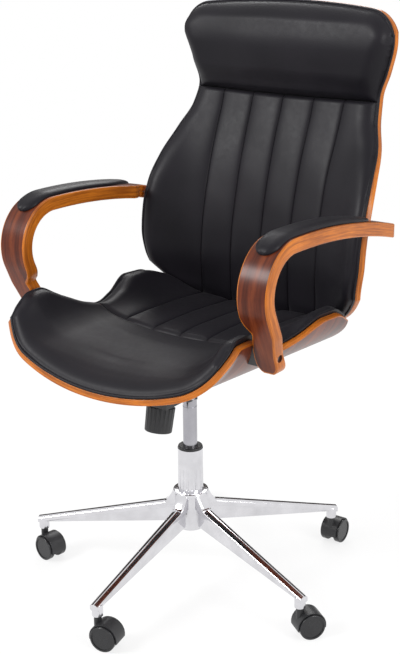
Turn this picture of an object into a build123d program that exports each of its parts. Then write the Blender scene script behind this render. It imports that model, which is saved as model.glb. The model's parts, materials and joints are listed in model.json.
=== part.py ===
# Executive office chair: moulded ply seat and back with channelled cushions,
# bent ply armrests, a tilt mechanism, a gas lift and a five star base on casters.
# Millimetres. Floor at z = 0, column axis at x = y = 0, the sitter faces -y.

import os
from math import asin, atan, cos, degrees, radians, sin, sqrt, tan

from build123d import *

# Shared clearances
running_gap = 0.05
seat_gap = 0.3
slide_gap = 0.5
overrun = 10.0

# Star base
star_reach = 314.6
star_turn = 130.0
leg_count = 5
leg_pitch = 360.0 / leg_count
hub_foot = 110.0
hub_height = 76.0
hub_wall = 7.0
hub_lip = 9.0
hub_lip_wall = 10.0
leg_root_top = 162.0
leg_tip_top = 88.0
leg_root_foot = 114.0
leg_tip_foot = 74.0
leg_root_width = 21.0
leg_tip_width = 18.0
leg_bar_height = 15.0
leg_crown = 6.0
leg_web_width = 13.0
leg_wall = 2.6
leg_roof = 8.0
shoulder_top = 196.0
shoulder_reach = 62.0
shoulder_width = 19.0
socket_foot = 61.0
socket_top = 89.0
socket_radius = 11.0

# Casters
wheel_radius = 25.0
wheel_width = 12.5
wheel_inset = 8.6
wheel_round = 1.6
wheel_ring_width = 2.6
wheel_dish = 1.2
wheel_cap = 3.0
axle_radius = 3.0
trail = 18.0
hood_clear = 0.8
hood_wall = 2.2
hood_half_width = 17.0
hood_drop = 6.0
web_half_width = 8.0
neck_radius = 7.2
stem_radius = 5.0
stem_rise = 21.0
stem_depth = 16.0
caster_turns = (37.0, -9.0, 13.0, 55.0, 92.0)

# Gas lift
column_radius = 25.0
column_wall = 1.8
column_foot = 104.0
column_top = 274.0
column_floor = 4.0
flute_count = 16
flute_radius = 3.0
flute_depth = 0.9
flute_foot = 190.0
flute_top = 234.0
collar_rise = 5.0
collar_round = 2.0
guide_length = 66.0
cylinder_radius = 14.0
cylinder_foot = 206.0
cylinder_wall = 3.0
cylinder_plug = 9.0
cylinder_bore_length = 108.0
cylinder_ring_drop = 25.0
cylinder_ring = 1.2
rod_radius = 5.0
rod_head = 8.0
bearing_height = 8.0
bearing_radius = 14.0
clip_radius = 9.0
clip_thick = 2.0
clip_drop = 1.0

# Tilt mechanism
housing_foot = 392.0
housing_half_width = 38.0
housing_wall = 3.0
housing_front = -122.0
housing_back = 24.0
housing_front_foot = 401.0
housing_front_top = 420.0
housing_back_top = 409.0
housing_step = -26.0
housing_slope = 36.0
housing_narrow = 21.0
socket_wall = 4.0
pivot_y = -50.0
pivot_z = 408.0
pivot_radius = 5.0
bush_radius = 11.0
bush_inset = 2.0
ear_gap = 1.0
ear_thick = 3.0
ear_radius = 12.0
plate_thick = 3.0
plate_half_width = 78.0
plate_front = -128.0
plate_back = 92.0
plate_round = 12.0
plate_drop = 6.0
rail_width = 34.0
rail_place = 58.0
rail_end = 8.0
pin_head_radius = 8.0
pin_head = 3.0
screw_radius = 3.0
screw_head_radius = 5.5
screw_head = 3.0
screw_bite = 8.0
screw_front = -104.0
screw_back = 68.0

# Tension knob on its leaning bolt
knob_lean = 12.0
knob_y = -90.0
knob_z = 390.0
knob_radius = 27.5
knob_foot_radius = 26.0
knob_height = 48.0
knob_rib_count = 20
knob_rib_radius = 1.8
knob_round = 2.5
knob_ring_radius = 24.0
knob_ring_height = 3.0
knob_neck_radius = 12.0
knob_neck_height = 4.5
bolt_radius = 4.0
bolt_rise = 33.0
bolt_sink = 12.0
bar_width = 64.0
bar_depth = 17.0
bar_height = 6.0
bar_place = 22.5

# Height lever
lever_radius = 4.0
lever_rest = 0.8
lever_notch_gap = 0.4
lever_pin_radius = 1.2
lug_clear = 1.2
lug_thick = 3.0
lug_rise = 10.0
lever_inner = 6.0
lever_reach = 168.0
grip_length = 60.0
grip_width = 22.0
grip_height = 10.0
grip_cover = 22.0
grip_round = 3.0
button_radius = 3.0
button_rise = 3.9
button_length = 14.0
button_room = 5.0

# Moulded shells
ply = 12.0
seat_tilt = 3.1
seat_z = 455.2
seat_flat_radius = 400.0
seat_flat_angle = 22.0
seat_wing_radius = 155.5
seat_wing_angle = 74.0
seat_front = -285.0
seat_back = 245.0
seat_front_centre = 281.0
seat_front_corner_x = 198.0
seat_front_corner_y = 260.5
seat_front_side_x = 262.0
seat_front_side_y = 222.0
seat_rear_centre = 236.0
seat_rear_corner_x = 208.0
seat_rear_corner_y = 224.0
seat_station_shares = (0.0, 0.079, 0.125, 0.179, 0.236, 0.311, 0.406, 0.491, 0.585, 0.705, 0.785, 0.89, 1.0)
seat_edge_shares = (0.64, 0.735, 0.86, 0.975, 0.985, 0.90, 0.765, 0.71, 0.773, 0.907, 0.905, 0.795, 0.62)
seat_front_shares = (1.0, 0.5, 0.25, 0.0, 0.0, 0.0, 0.0, 0.0, 0.0, 0.0, 0.0, 0.0, 0.0)
seat_front_rise = 9.7
seat_front_flat_radius = 560.0
seat_front_flat_angle = 18.0
seat_front_wing_radius = 150.0
back_foot = 455.0
back_head = 1110.0
back_set = 263.0
back_lean = 89.0
back_half_width = 259.3
back_wing = 84.0
back_flat_share = 0.45
back_flat_slope_share = 0.6
back_height_shares = (
    0.0, 0.069, 0.13, 0.206, 0.282, 0.359, 0.435, 0.511, 0.588, 0.664, 0.725, 0.802, 0.893, 1.0
)
back_lean_shares = (
    0.056, 0.034, 0.017, 0.0, 0.045, 0.14, 0.27, 0.427, 0.618, 0.831, 0.955, 1.0, 0.955, 0.888
)
back_width_shares = (
    0.791, 0.856, 0.922, 0.972, 0.999, 1.0, 0.993, 0.964, 0.91, 0.833, 0.814, 0.875, 0.926, 0.926
)
back_wing_shares = (
    0.452, 0.548, 0.679, 0.899, 0.976, 1.0, 0.929, 0.714, 0.405, 0.262, 0.226, 0.286, 0.28, 0.202
)
back_low = 466.0
back_low_corner_x = 205.0
back_low_corner_z = 514.0
back_low_side_x = 243.0
back_low_side_z = 562.0
back_top = 1104.0
back_top_corner_x = 190.0
back_top_corner_z = 1094.0
back_top_side_x = 243.0
back_top_side_z = 1042.0

# Cushions
piping_inset = 1.0
cushion_edge = 12.0
cushion_bed = 4.0
channel_pitch = 72.0
channel_count = 5
channel_crest = 6.0
seat_seam = -36.0
seat_front_length = 238.0
front_station_shares = (0.0, 0.06, 0.14, 0.23, 0.35, 0.48, 0.65, 0.83, 1.0)
front_crown = 63.0
front_crown_shares = (0.19, 0.4, 0.62, 0.74, 0.84, 0.91, 0.97, 1.0, 0.9)
seat_rear_length = 266.0
rear_station_shares = (0.0, 0.07, 0.24, 0.45, 0.67, 0.85, 1.0)
rear_crown = 69.0
rear_crown_shares = (0.83, 0.89, 0.95, 0.99, 1.0, 0.98, 0.84)
back_crown = 24.0
back_fade = 60.0
back_fade_share = 0.6
back_seam = 916.0
head_crown = 60.0
head_rise_shares = (0.0, 0.1, 0.32, 0.62, 0.86, 1.0)
head_crown_shares = (0.42, 0.62, 0.92, 1.0, 0.8, 0.4)

# Armrests
arm_inner = 240.0
arm_width = 60.0
arm_thick = 26.0
arm_round = 3.0
arm_turn_y = -99.0
arm_turn_z = 672.0
arm_turn_radius = 90.0
arm_top_radius = 1294.0
arm_rear = 243.0
arm_leg_angle = 24.0
arm_leg_length = 124.0
leg_foot_lift = 71.8
leg_foot_half = 21.0
leg_inner_rise = 32.0
leg_neck_rise = 26.0
leg_neck_half = 13.0
leg_bend_rise = 14.0
leg_bend_half = 24.5
leg_inner_top_rise = 16.0
leg_outer_rise = 12.0
leg_outer_top_rise = 46.0
notch_front = 143.0
notch_mid_x = 8.0
notch_mid_y = 160.0
notch_deep_x = 28.2
notch_deep_y = 190.0
notch_back_y = 212.5
notch_heel_x = 20.0
notch_heel_y = 220.5
notch_end_x = 52.0
notch_end_y = 251.0
pad_thick = 9.0
pad_front = -157.0
pad_rear = 172.0
pad_inset = 7.0
pad_rear_x = 43.0
pad_nose = 21.0
pad_waist_y = 40.0
pad_round = 4.0
pad_tip_slope = 0.4
block_drop = 22.0
block_rise = 21.0
block_inset = 2.0
block_inner = 205.0
arm_bolt_lift = 32.0
seat_block_angle = 80.0
arm_bolt_radius = 4.0
arm_bolt_head_radius = 6.5
arm_bolt_head = 5.0
arm_bolt_end = 236.0
arm_bolt_sink = 4.0
rear_screw_y = 204.0
rear_screw_z = 712.0
rear_screw_radius = 2.5
rear_screw_head_radius = 5.0
rear_screw_head = 3.0
rear_screw_end = 257.5
rear_screw_sink = 4.0

os.makedirs("parts", exist_ok=True)


def keep(name, part):
    """Label one finished solid and write it to its own file."""
    part.label = name
    export_step(part, f"parts/{name}.step")


def upright(x, y, turn):
    """Vertical plane through (x, y): local x points along turn, local y points up."""
    a = radians(turn)
    return Plane(origin=(x, y, 0), x_dir=(cos(a), sin(a), 0), z_dir=(sin(a), -cos(a), 0))


def ring(radius, bore, foot):
    """Ring face round the column axis at a height."""
    with BuildSketch(Plane.XY.offset(foot)) as face:
        Circle(radius)
        Circle(bore, mode=Mode.SUBTRACT)
    return face.sketch


def disc(radius, foot):
    """Round face on the column axis at a height."""
    with BuildSketch(Plane.XY.offset(foot)) as face:
        Circle(radius)
    return face.sketch


# Trough sections: a flat middle arc that runs on into two tighter wing arcs


def trough_point(trough, angle, lift):
    """Point of a trough at a slope angle, lifted inwards off its inner face."""
    flat, edge, wing = trough
    a = radians(angle)
    e = radians(edge)
    if angle <= edge:
        return ((flat - lift) * sin(a), flat - (flat - lift) * cos(a))
    x = (flat - wing) * sin(e) + (wing - lift) * sin(a)
    return (x, flat - (flat - wing) * cos(e) - (wing - lift) * cos(a))


def other_side(point):
    return (-point[0], point[1])


def trough_arcs(trough, angle, lift):
    """The three arcs of a trough from its left edge to its right edge."""
    edge = trough[1]
    wing = [trough_point(trough, a, lift) for a in (edge, (edge + angle) / 2, angle)]
    ThreePointArc(*[other_side(p) for p in reversed(wing)])
    ThreePointArc(other_side(wing[0]), (0, lift), wing[0])
    ThreePointArc(*wing)


def trough_from(half_width, depth):
    """Trough whose edge lies half_width out and depth up, and its edge angle."""
    slope = 2 * atan(depth / half_width)
    flat_angle = back_flat_slope_share * asin(back_flat_share * sin(slope))
    flat_x = back_flat_share * half_width
    flat = flat_x / sin(flat_angle)
    rest_x = half_width - flat_x
    rest_y = depth - flat * (1 - cos(flat_angle))
    angle = 2 * atan(rest_y / rest_x) - flat_angle
    wing = rest_x / (sin(angle) - sin(flat_angle))
    return (flat, degrees(flat_angle), wing), degrees(angle)


def shell_section(plane, trough, angle, skin=0):
    """Ply of one thickness, its edges cut square to its faces; a skin thickens it inwards."""
    inner = trough_point(trough, angle, skin)
    outer = trough_point(trough, angle, -ply)
    with BuildSketch(plane) as section:
        with BuildLine():
            trough_arcs(trough, angle, skin)
            trough_arcs(trough, angle, -ply)
            Line(inner, outer)
            Line(other_side(inner), other_side(outer))
        make_face()
    return section.sketch


def cushion_section(plane, trough, angle, crown, channels):
    """Cushion that lies in a trough: square edges and a crowned or channelled top."""
    angle = angle - degrees(piping_inset / trough[2])
    low = trough_point(trough, angle, -cushion_bed)
    high = trough_point(trough, angle, cushion_edge)
    with BuildSketch(plane) as section:
        with BuildLine():
            trough_arcs(trough, angle, -cushion_bed)
            Line(low, high)
            Line(other_side(low), other_side(high))
            if channels:
                places = [(i - (channel_count - 1) / 2) * channel_pitch for i in range(channel_count)]
                valleys = [(x, crown + (high[1] - crown) * (x / high[0]) ** 2) for x in places]
                valleys = [other_side(high)] + valleys + [high]
                for a, b in zip(valleys[:-1], valleys[1:]):
                    run = sqrt((b[0] - a[0]) ** 2 + (b[1] - a[1]) ** 2)
                    lean = ((a[1] - b[1]) / run * channel_crest, (b[0] - a[0]) / run * channel_crest)
                    ThreePointArc(a, ((a[0] + b[0]) / 2 + lean[0], (a[1] + b[1]) / 2 + lean[1]), b)
            else:
                ThreePointArc(other_side(high), (0, crown), high)
        make_face()
    return section.sketch


# Seat frame: the trough runs back along an axis that falls by seat_tilt

tilt = radians(seat_tilt)
seat_middle_trough = (seat_flat_radius, seat_flat_angle, seat_wing_radius)
seat_front_trough = (seat_front_flat_radius, seat_front_flat_angle, seat_front_wing_radius)


def between(places, values, at):
    """Value at a place, on straight lines between the given ones."""
    for i in range(len(places) - 1):
        if at <= places[i + 1]:
            break
    part = (at - places[i]) / (places[i + 1] - places[i])
    return values[i] + (values[i + 1] - values[i]) * part


seat_places = [seat_front + s * (seat_back - seat_front) for s in seat_station_shares]
seat_angles = [s * seat_wing_angle for s in seat_edge_shares]


def seat_point(along, lift):
    """Side view point in the seat frame: y and z of a place along and above it."""
    return (along * cos(tilt) + lift * sin(tilt), seat_z - along * sin(tilt) + lift * cos(tilt))


def seat_plane(along):
    """Plane across the seat on the trough's lowest line, which rises towards the front."""
    y, z = seat_point(along, seat_front_rise * between(seat_places, seat_front_shares, along))
    return Plane(origin=(0, y, z), x_dir=(1, 0, 0), z_dir=(0, -cos(tilt), sin(tilt)))


def seat_trough(along):
    """Trough of the seat, which opens out towards the front."""
    share = between(seat_places, seat_front_shares, along)
    return tuple(a + (b - a) * share for a, b in zip(seat_middle_trough, seat_front_trough))


def seat_outline(inset):
    """Plan of the seat, inset from the edge of the ply, on the ground plane."""
    front = (0, inset - seat_front_centre)
    front_corner = (seat_front_corner_x, inset - seat_front_corner_y)
    front_side = (seat_front_side_x, -seat_front_side_y + inset)
    rear = (0, seat_rear_centre - inset)
    rear_corner = (seat_rear_corner_x, seat_rear_corner_y - inset)
    rear_side = (seat_front_side_x + overrun, seat_rear_corner_y - overrun)
    with BuildSketch() as plan:
        with BuildLine():
            ThreePointArc(other_side(front_corner), front, front_corner)
            Polyline(front_corner, front_side, (rear_side[0], front_side[1]), rear_side, rear_corner)
            ThreePointArc(rear_corner, rear, other_side(rear_corner))
            Polyline(
                other_side(rear_corner),
                other_side(rear_side),
                (-rear_side[0], front_side[1]),
                other_side(front_side),
                other_side(front_corner),
            )
        make_face()
    return plan.sketch


# Star base: hub, five channel legs that fall outwards, and their caster sockets

leg_turns = [star_turn + i * leg_pitch for i in range(leg_count)]
hub_top = hub_foot + hub_height
hub_radius = column_radius + hub_wall
leg_root = column_radius + hub_wall / 2
leg_tip = star_reach


def along_leg(root, tip, reach):
    """Height on a straight line from the leg root to its tip."""
    return root + (tip - root) * (reach - leg_root) / (leg_tip - leg_root)


def leg_section(turn, reach, width, top, height):
    """Bar section across a leg: square below, crowned above."""
    a = radians(turn)
    across = Plane(
        origin=(reach * cos(a), reach * sin(a), 0),
        x_dir=(-sin(a), cos(a), 0),
        z_dir=(cos(a), sin(a), 0),
    )
    with BuildSketch(across) as section:
        with BuildLine():
            Polyline(
                (-width / 2, top - leg_crown),
                (-width / 2, top - height),
                (width / 2, top - height),
                (width / 2, top - leg_crown),
            )
            ThreePointArc((width / 2, top - leg_crown), (0, top), (-width / 2, top - leg_crown))
        make_face()
    return section.sketch


def leg_profile(turn, points):
    """Side view of a leg, on the upright plane along it."""
    with BuildSketch(upright(0, 0, turn)) as profile:
        with BuildLine():
            Polyline(*points, close=True)
        make_face()
    return profile.sketch


with BuildPart() as star_base:
    extrude(ring(hub_radius, column_radius + running_gap, hub_foot), amount=hub_height)
    lip = ring(column_radius + hub_lip_wall, column_radius + running_gap, hub_top - hub_lip)
    extrude(lip, amount=hub_lip)
    for turn in leg_turns:
        loft([
            leg_section(turn, leg_root, leg_root_width, leg_root_top, leg_bar_height),
            leg_section(turn, leg_tip, leg_tip_width, leg_tip_top, leg_bar_height - leg_crown / 2),
        ])
        web = [
            (leg_root, leg_root_foot),
            (leg_root, leg_root_top - leg_crown),
            (leg_tip, leg_tip_top - leg_crown),
            (leg_tip, leg_tip_foot),
        ]
        extrude(leg_profile(turn, web), amount=leg_web_width / 2, both=True)
        shoulder = [
            (leg_root, leg_root_top - leg_crown),
            (leg_root, shoulder_top),
            (leg_root + hub_wall, shoulder_top),
            (shoulder_reach, along_leg(leg_root_top, leg_tip_top, shoulder_reach)),
            (shoulder_reach, along_leg(leg_root_top, leg_tip_top, shoulder_reach) - leg_crown),
        ]
        extrude(leg_profile(turn, shoulder), amount=shoulder_width / 2, both=True)
        start = hub_radius + leg_wall
        end = star_reach - socket_radius - leg_wall
        channel = [
            (start, along_leg(leg_root_foot, leg_tip_foot, start) - overrun),
            (start, along_leg(leg_root_top, leg_tip_top, start) - leg_roof),
            (end, along_leg(leg_root_top, leg_tip_top, end) - leg_roof),
            (end, along_leg(leg_root_foot, leg_tip_foot, end) - overrun),
        ]
        hollow = leg_web_width / 2 - leg_wall
        extrude(leg_profile(turn, channel), amount=hollow, both=True, mode=Mode.SUBTRACT)
    with BuildSketch(Plane.XY.offset(socket_foot)):
        with PolarLocations(star_reach, leg_count, start_angle=star_turn):
            Circle(socket_radius)
    extrude(amount=socket_top - socket_foot)
    with BuildSketch(Plane.XY.offset(socket_foot)):
        with PolarLocations(star_reach, leg_count, start_angle=star_turn):
            Circle(stem_radius + running_gap)
    extrude(amount=stem_rise + slide_gap, mode=Mode.SUBTRACT)
keep("star_base", star_base.part)

# Gas lift

column_bore = column_radius - column_wall
column_deck = column_foot + column_floor
guide_radius = column_bore - running_gap

with BuildPart() as outer_column:
    extrude(ring(column_radius, column_bore, column_foot), amount=column_top - column_foot)
    extrude(ring(column_bore, rod_radius + running_gap, column_foot), amount=column_floor)
    with BuildSketch(Plane.XY.offset(flute_foot)):
        with PolarLocations(column_radius + flute_radius - flute_depth, flute_count):
            Circle(flute_radius)
    extrude(amount=flute_top - flute_foot, mode=Mode.SUBTRACT)
keep("outer_column", outer_column.part)

with BuildPart() as guide_bush:
    guide_bore = cylinder_radius + running_gap
    extrude(ring(guide_radius, guide_bore, column_top - guide_length), amount=guide_length)
    extrude(ring(column_radius - column_wall / 2, guide_bore, column_top), amount=collar_rise)
    fillet(guide_bush.faces().sort_by(Axis.Z)[-1].edges().sort_by(SortBy.LENGTH)[-1], collar_round)
keep("guide_bush", guide_bush.part)

with BuildPart() as thrust_bearing:
    extrude(ring(bearing_radius, rod_radius + running_gap, column_deck), amount=bearing_height)
keep("thrust_bearing", thrust_bearing.part)

bearing_top = column_deck + bearing_height
rod_foot = column_foot - clip_drop - clip_thick - clip_drop
rod_head_foot = cylinder_foot + cylinder_plug + slide_gap

with BuildPart() as gas_rod:
    extrude(disc(rod_radius, rod_foot), amount=rod_head_foot - rod_foot)
    extrude(disc(clip_radius, bearing_top + running_gap), amount=clip_thick)
    extrude(disc(cylinder_radius - cylinder_wall - running_gap, rod_head_foot), amount=rod_head)
keep("gas_rod", gas_rod.part)

with BuildPart() as rod_clip:
    extrude(ring(clip_radius, rod_radius + running_gap, rod_foot + clip_drop), amount=clip_thick)
keep("rod_clip", rod_clip.part)

cone_foot = housing_foot - collar_rise
cone_top = housing_back_top - button_rise - clip_drop
cone_small = cylinder_radius - cylinder_wall / 4
button_foot = cone_top + button_rise - button_length


def cone(low, high, foot, top):
    """Cone faces between two heights on the column axis, for a loft."""
    return [disc(low, foot), disc(high, top)]


with BuildPart() as gas_cylinder:
    extrude(disc(cylinder_radius, cylinder_foot), amount=cone_foot - cylinder_foot)
    loft(cone(cylinder_radius, cone_small, cone_foot, cone_top))
    bore = cylinder_radius - cylinder_wall
    extrude(disc(bore, cylinder_foot + cylinder_plug), amount=cylinder_bore_length, mode=Mode.SUBTRACT)
    extrude(disc(rod_radius + running_gap, cylinder_foot), amount=cylinder_plug, mode=Mode.SUBTRACT)
    groove = ring(cylinder_radius, cylinder_radius - cylinder_ring / 2, cone_foot - cylinder_ring_drop)
    extrude(groove, amount=cylinder_ring, mode=Mode.SUBTRACT)
    well = disc(button_radius + running_gap, button_foot - button_room)
    extrude(well, amount=button_length + button_room, mode=Mode.SUBTRACT)
keep("gas_cylinder", gas_cylinder.part)

with BuildPart() as release_button:
    extrude(disc(button_radius, button_foot), amount=button_length)
keep("release_button", release_button.part)

# Tilt mechanism: an open housing on the lift, a pivot pin with two rubber bushes,
# and the seat plate with its two ears

housing_in = housing_half_width - housing_wall
side_view = Plane(origin=(0, 0, 0), x_dir=(0, 1, 0), z_dir=(1, 0, 0))
pivot = (pivot_y, pivot_z)
barrel_radius = bush_radius + running_gap + housing_wall


def housing_profile(skin):
    """Side view of the housing with its pivot barrel, shrunk by a skin and then open above."""
    above = overrun if skin else 0
    with BuildSketch(side_view) as profile:
        with BuildLine():
            Polyline(
                (housing_front + skin, housing_front_foot + skin),
                (housing_step - housing_slope, housing_front_foot + skin),
                (housing_step, housing_foot + skin),
                (housing_back - skin, housing_foot + skin),
                (housing_back - skin, housing_back_top + above),
                (housing_step + skin, housing_back_top + above),
                (housing_step - housing_wall + skin, housing_front_top + above),
                (housing_front + skin, housing_front_top + above),
                close=True,
            )
        make_face()
        with Locations(pivot):
            Circle(barrel_radius - skin)
    return profile.sketch


def housing_side(skin):
    """Plan of the room that the narrow part leaves free on the left, grown by a skin."""
    low = (housing_narrow - skin, housing_step - skin)
    high = (housing_half_width + overrun, housing_back + overrun)
    with BuildSketch() as plan:
        with Locations(((low[0] + high[0]) / 2, (low[1] + high[1]) / 2)):
            Rectangle(high[0] - low[0], high[1] - low[1])
    return plan.sketch


def side_disc(place, radius, offset):
    """Round face in side view, offset along x."""
    with BuildSketch(side_view.offset(offset)) as face:
        with Locations(place):
            Circle(radius)
    return face.sketch


lean = radians(knob_lean)
knob_axis = Plane(origin=(0, knob_y, knob_z), x_dir=(1, 0, 0), z_dir=(0, sin(lean), cos(lean)))


def on_knob(radius, lift):
    """Round face across the knob axis, lifted along it."""
    with BuildSketch(knob_axis.offset(lift)) as face:
        Circle(radius)
    return face.sketch


lever_z = cone_top + button_rise + lever_rest + lever_radius
lever_hinge = housing_wall / 2 - housing_half_width
lug_place = lever_radius + lug_clear + lug_thick / 2

with BuildPart() as housing_room:
    extrude(housing_profile(housing_wall), amount=housing_in, both=True)
    extrude(housing_side(housing_wall), amount=seat_z, mode=Mode.SUBTRACT)

with BuildPart() as tilt_housing:
    extrude(housing_profile(0), amount=housing_half_width, both=True)
    extrude(housing_side(0), amount=seat_z, mode=Mode.SUBTRACT)
    add(housing_room.part, mode=Mode.SUBTRACT)
    boss_height = cone_top - clip_drop - housing_foot
    extrude(disc(cylinder_radius + socket_wall, housing_foot), amount=boss_height)
    socket = cone(cylinder_radius + running_gap, cone_small + running_gap, cone_foot, cone_top)
    loft(socket, mode=Mode.SUBTRACT)
    pin_bore = side_disc(pivot, pivot_radius + running_gap, 0)
    extrude(pin_bore, amount=housing_half_width, both=True, mode=Mode.SUBTRACT)
    extrude(on_knob(bolt_radius + running_gap, 0), amount=bolt_rise, mode=Mode.SUBTRACT)
    for side in (-1, 1):
        with Locations((lever_hinge, side * lug_place, housing_back_top + lug_rise / 2 - housing_wall)):
            Box(housing_wall, lug_thick, lug_rise)
    with Locations((lever_hinge, 0, lever_z)):
        Cylinder(lever_pin_radius + running_gap, housing_half_width, rotation=(90, 0, 0), mode=Mode.SUBTRACT)
    notch = side_disc((0, lever_z), lever_radius + lever_notch_gap, -housing_half_width)
    extrude(notch, amount=housing_wall, mode=Mode.SUBTRACT)
keep("tilt_housing", tilt_housing.part)

ear_inner = housing_half_width + ear_gap
ear_outer = ear_inner + ear_thick
pin_reach = ear_outer + ear_gap

with BuildPart() as pivot_pin:
    extrude(side_disc(pivot, pivot_radius, 0), amount=pin_reach, both=True)
    extrude(side_disc(pivot, pin_head_radius, pin_reach), amount=pin_head)
    extrude(side_disc(pivot, pin_head_radius, -pin_reach), amount=-pin_head)
keep("pivot_pin", pivot_pin.part)

with BuildPart() as tilt_bushes:
    for side in (-1, 1):
        with BuildSketch(side_view.offset(side * bush_inset)):
            with Locations(pivot):
                Circle(bush_radius)
                Circle(pivot_radius + running_gap, mode=Mode.SUBTRACT)
        extrude(amount=side * (housing_in - 2 * bush_inset))
keep("tilt_bushes", tilt_bushes.part)

# Tension knob, its leaning bolt and the bar that the bolt draws down

with BuildPart() as tension_knob:
    loft([on_knob(knob_foot_radius, -knob_height), on_knob(knob_radius, 0)])
    fillet(tension_knob.faces().sort_by(Axis.Z)[0].edges(), knob_round)
    with BuildSketch(knob_axis.offset(-knob_height)):
        with PolarLocations(knob_radius, knob_rib_count):
            Circle(knob_rib_radius)
    extrude(amount=knob_height, mode=Mode.SUBTRACT)
    extrude(on_knob(knob_ring_radius, 0), amount=knob_ring_height)
    extrude(on_knob(knob_neck_radius, knob_ring_height), amount=knob_neck_height)
    extrude(on_knob(bolt_radius + running_gap, -bolt_sink), amount=bolt_sink + bolt_rise, mode=Mode.SUBTRACT)
keep("tension_knob", tension_knob.part)

with BuildPart() as tension_bolt:
    extrude(on_knob(bolt_radius, -bolt_sink), amount=bolt_sink + bolt_rise)
keep("tension_bolt", tension_bolt.part)

with BuildPart() as tension_bar:
    with BuildSketch(knob_axis.offset(bar_place)):
        Rectangle(bar_width, bar_depth)
        Circle(bolt_radius + running_gap, mode=Mode.SUBTRACT)
    extrude(amount=bar_height)
keep("tension_bar", tension_bar.part)

# Height lever: a rod over the housing wall that presses the release button

with BuildPart() as height_lever:
    with BuildSketch(side_view.offset(lever_inner)):
        with Locations((0, lever_z)):
            Circle(lever_radius)
    extrude(amount=-(lever_inner + lever_reach))
    with Locations((lever_hinge, 0, lever_z)):
        Cylinder(lever_pin_radius, 2 * lug_place + lug_thick, rotation=(90, 0, 0))
keep("height_lever", height_lever.part)

with BuildPart() as lever_grip:
    with BuildSketch(side_view.offset(-(lever_reach - grip_cover))):
        with Locations((0, lever_z)):
            RectangleRounded(grip_width, grip_height, grip_round)
    extrude(amount=-grip_length)
    with BuildSketch(side_view.offset(-(lever_reach - grip_cover))):
        with Locations((0, lever_z)):
            Circle(lever_radius + running_gap)
    extrude(amount=-grip_cover - slide_gap, mode=Mode.SUBTRACT)
keep("lever_grip", lever_grip.part)

# Seat plate, its rails and screws, all square to the tilted seat

plate_top = -(ply + plate_drop)
screw_places = [(x, y) for x in (-rail_place, rail_place) for y in (screw_front, screw_back)]


def seat_level(lift):
    """Plane square to the seat at a lift: local x is x, local y runs back."""
    y, z = seat_point(0, lift)
    return Plane(origin=(0, y, z), x_dir=(1, 0, 0), z_dir=(0, sin(tilt), cos(tilt)))


def screw_faces(radius, lift):
    """Round faces at the four plate screws, at a lift."""
    with BuildSketch(seat_level(lift)) as faces:
        with Locations(*screw_places):
            Circle(radius)
    return faces.sketch


def rail_section(side):
    """Rail across the seat: flat on the plate, curved under the ply."""
    reach = seat_flat_radius + ply + seat_gap
    xs = [side * (rail_place + place * rail_width / 2) for place in (-1, 0, 1)]
    tops = [(x, seat_flat_radius - sqrt(reach**2 - x**2)) for x in xs]
    with BuildSketch(seat_plane(plate_front + rail_end)) as section:
        with BuildLine():
            Polyline(tops[0], (xs[0], plate_top), (xs[2], plate_top), tops[2])
            ThreePointArc(*tops)
        make_face()
    return section.sketch


with BuildPart() as seat_plate:
    with BuildSketch(seat_level(plate_top - plate_thick)):
        with Locations((0, (plate_front + plate_back) / 2)):
            RectangleRounded(2 * plate_half_width, plate_back - plate_front, plate_round)
    extrude(amount=plate_thick)
    for side in (-1, 1):
        with BuildSketch(side_view.offset(side * ear_inner)):
            with BuildLine():
                Polyline(
                    (pivot_y - ear_radius, pivot_z),
                    seat_point(pivot_y - ear_radius, plate_top - plate_thick / 2),
                    seat_point(pivot_y + ear_radius, plate_top - plate_thick / 2),
                    (pivot_y + ear_radius, pivot_z),
                    close=True,
                )
            make_face()
            with Locations(pivot):
                Circle(ear_radius)
                Circle(pivot_radius + running_gap, mode=Mode.SUBTRACT)
        extrude(amount=side * ear_thick)
    screw_bores = screw_faces(screw_radius + running_gap, plate_top - plate_thick)
    extrude(screw_bores, amount=plate_thick, mode=Mode.SUBTRACT)
keep("seat_plate", seat_plate.part)

rail_length = plate_back - plate_front - 2 * rail_end

with BuildPart() as seat_rails:
    for side in (-1, 1):
        extrude(rail_section(side), amount=-rail_length)
    extrude(screw_faces(screw_radius + running_gap, plate_top), amount=ply + plate_drop, mode=Mode.SUBTRACT)
keep("seat_rails", seat_rails.part)

screw_foot = plate_top - plate_thick
screw_length = plate_thick + plate_drop + rail_end + screw_bite / 2

with BuildPart() as plate_screws:
    extrude(screw_faces(screw_head_radius, screw_foot), amount=-screw_head)
    extrude(screw_faces(screw_radius, screw_foot), amount=screw_length)
keep("plate_screws", plate_screws.part)

# Armrest lines in side view, local x towards the back and local y up

arm_centre = (arm_turn_y, arm_turn_z)
arm_top_centre = (arm_turn_y, arm_turn_z + arm_turn_radius - arm_top_radius)
arm_rear_angle = 90 - degrees(asin((arm_rear - arm_turn_y) / arm_top_radius))
leg_slope = radians(arm_leg_angle)
leg_way = (sin(leg_slope), -cos(leg_slope))


def round_point(centre, radius, angle):
    a = radians(angle)
    return (centre[0] + radius * cos(a), centre[1] + radius * sin(a))


def leg_front_y(height):
    """Front face of the armrest leg at a height."""
    start = round_point(arm_centre, arm_turn_radius, 180 + arm_leg_angle)
    return start[0] + (start[1] - height) * tan(leg_slope)


def leg_middle_y(height):
    return leg_front_y(height) + arm_thick / cos(leg_slope) / 2


leg_foot_end = seat_z + leg_foot_lift
bolt_z = leg_foot_end + arm_bolt_lift
bolt_y = leg_middle_y(bolt_z)

seat_all = seat_z + seat_wing_radius * 2


def seat_cushion(start, length, shares, crown, crown_shares, channels):
    """Sections of a seat cushion from start, length long towards the back."""
    sections = []
    for share, crown_share in zip(shares, crown_shares):
        place = start + share * length
        angle = between(seat_places, seat_angles, place)
        height = crown * crown_share
        trough = seat_trough(place)
        sections.append(cushion_section(seat_plane(place), trough, angle, height, channels))
    return sections


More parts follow.
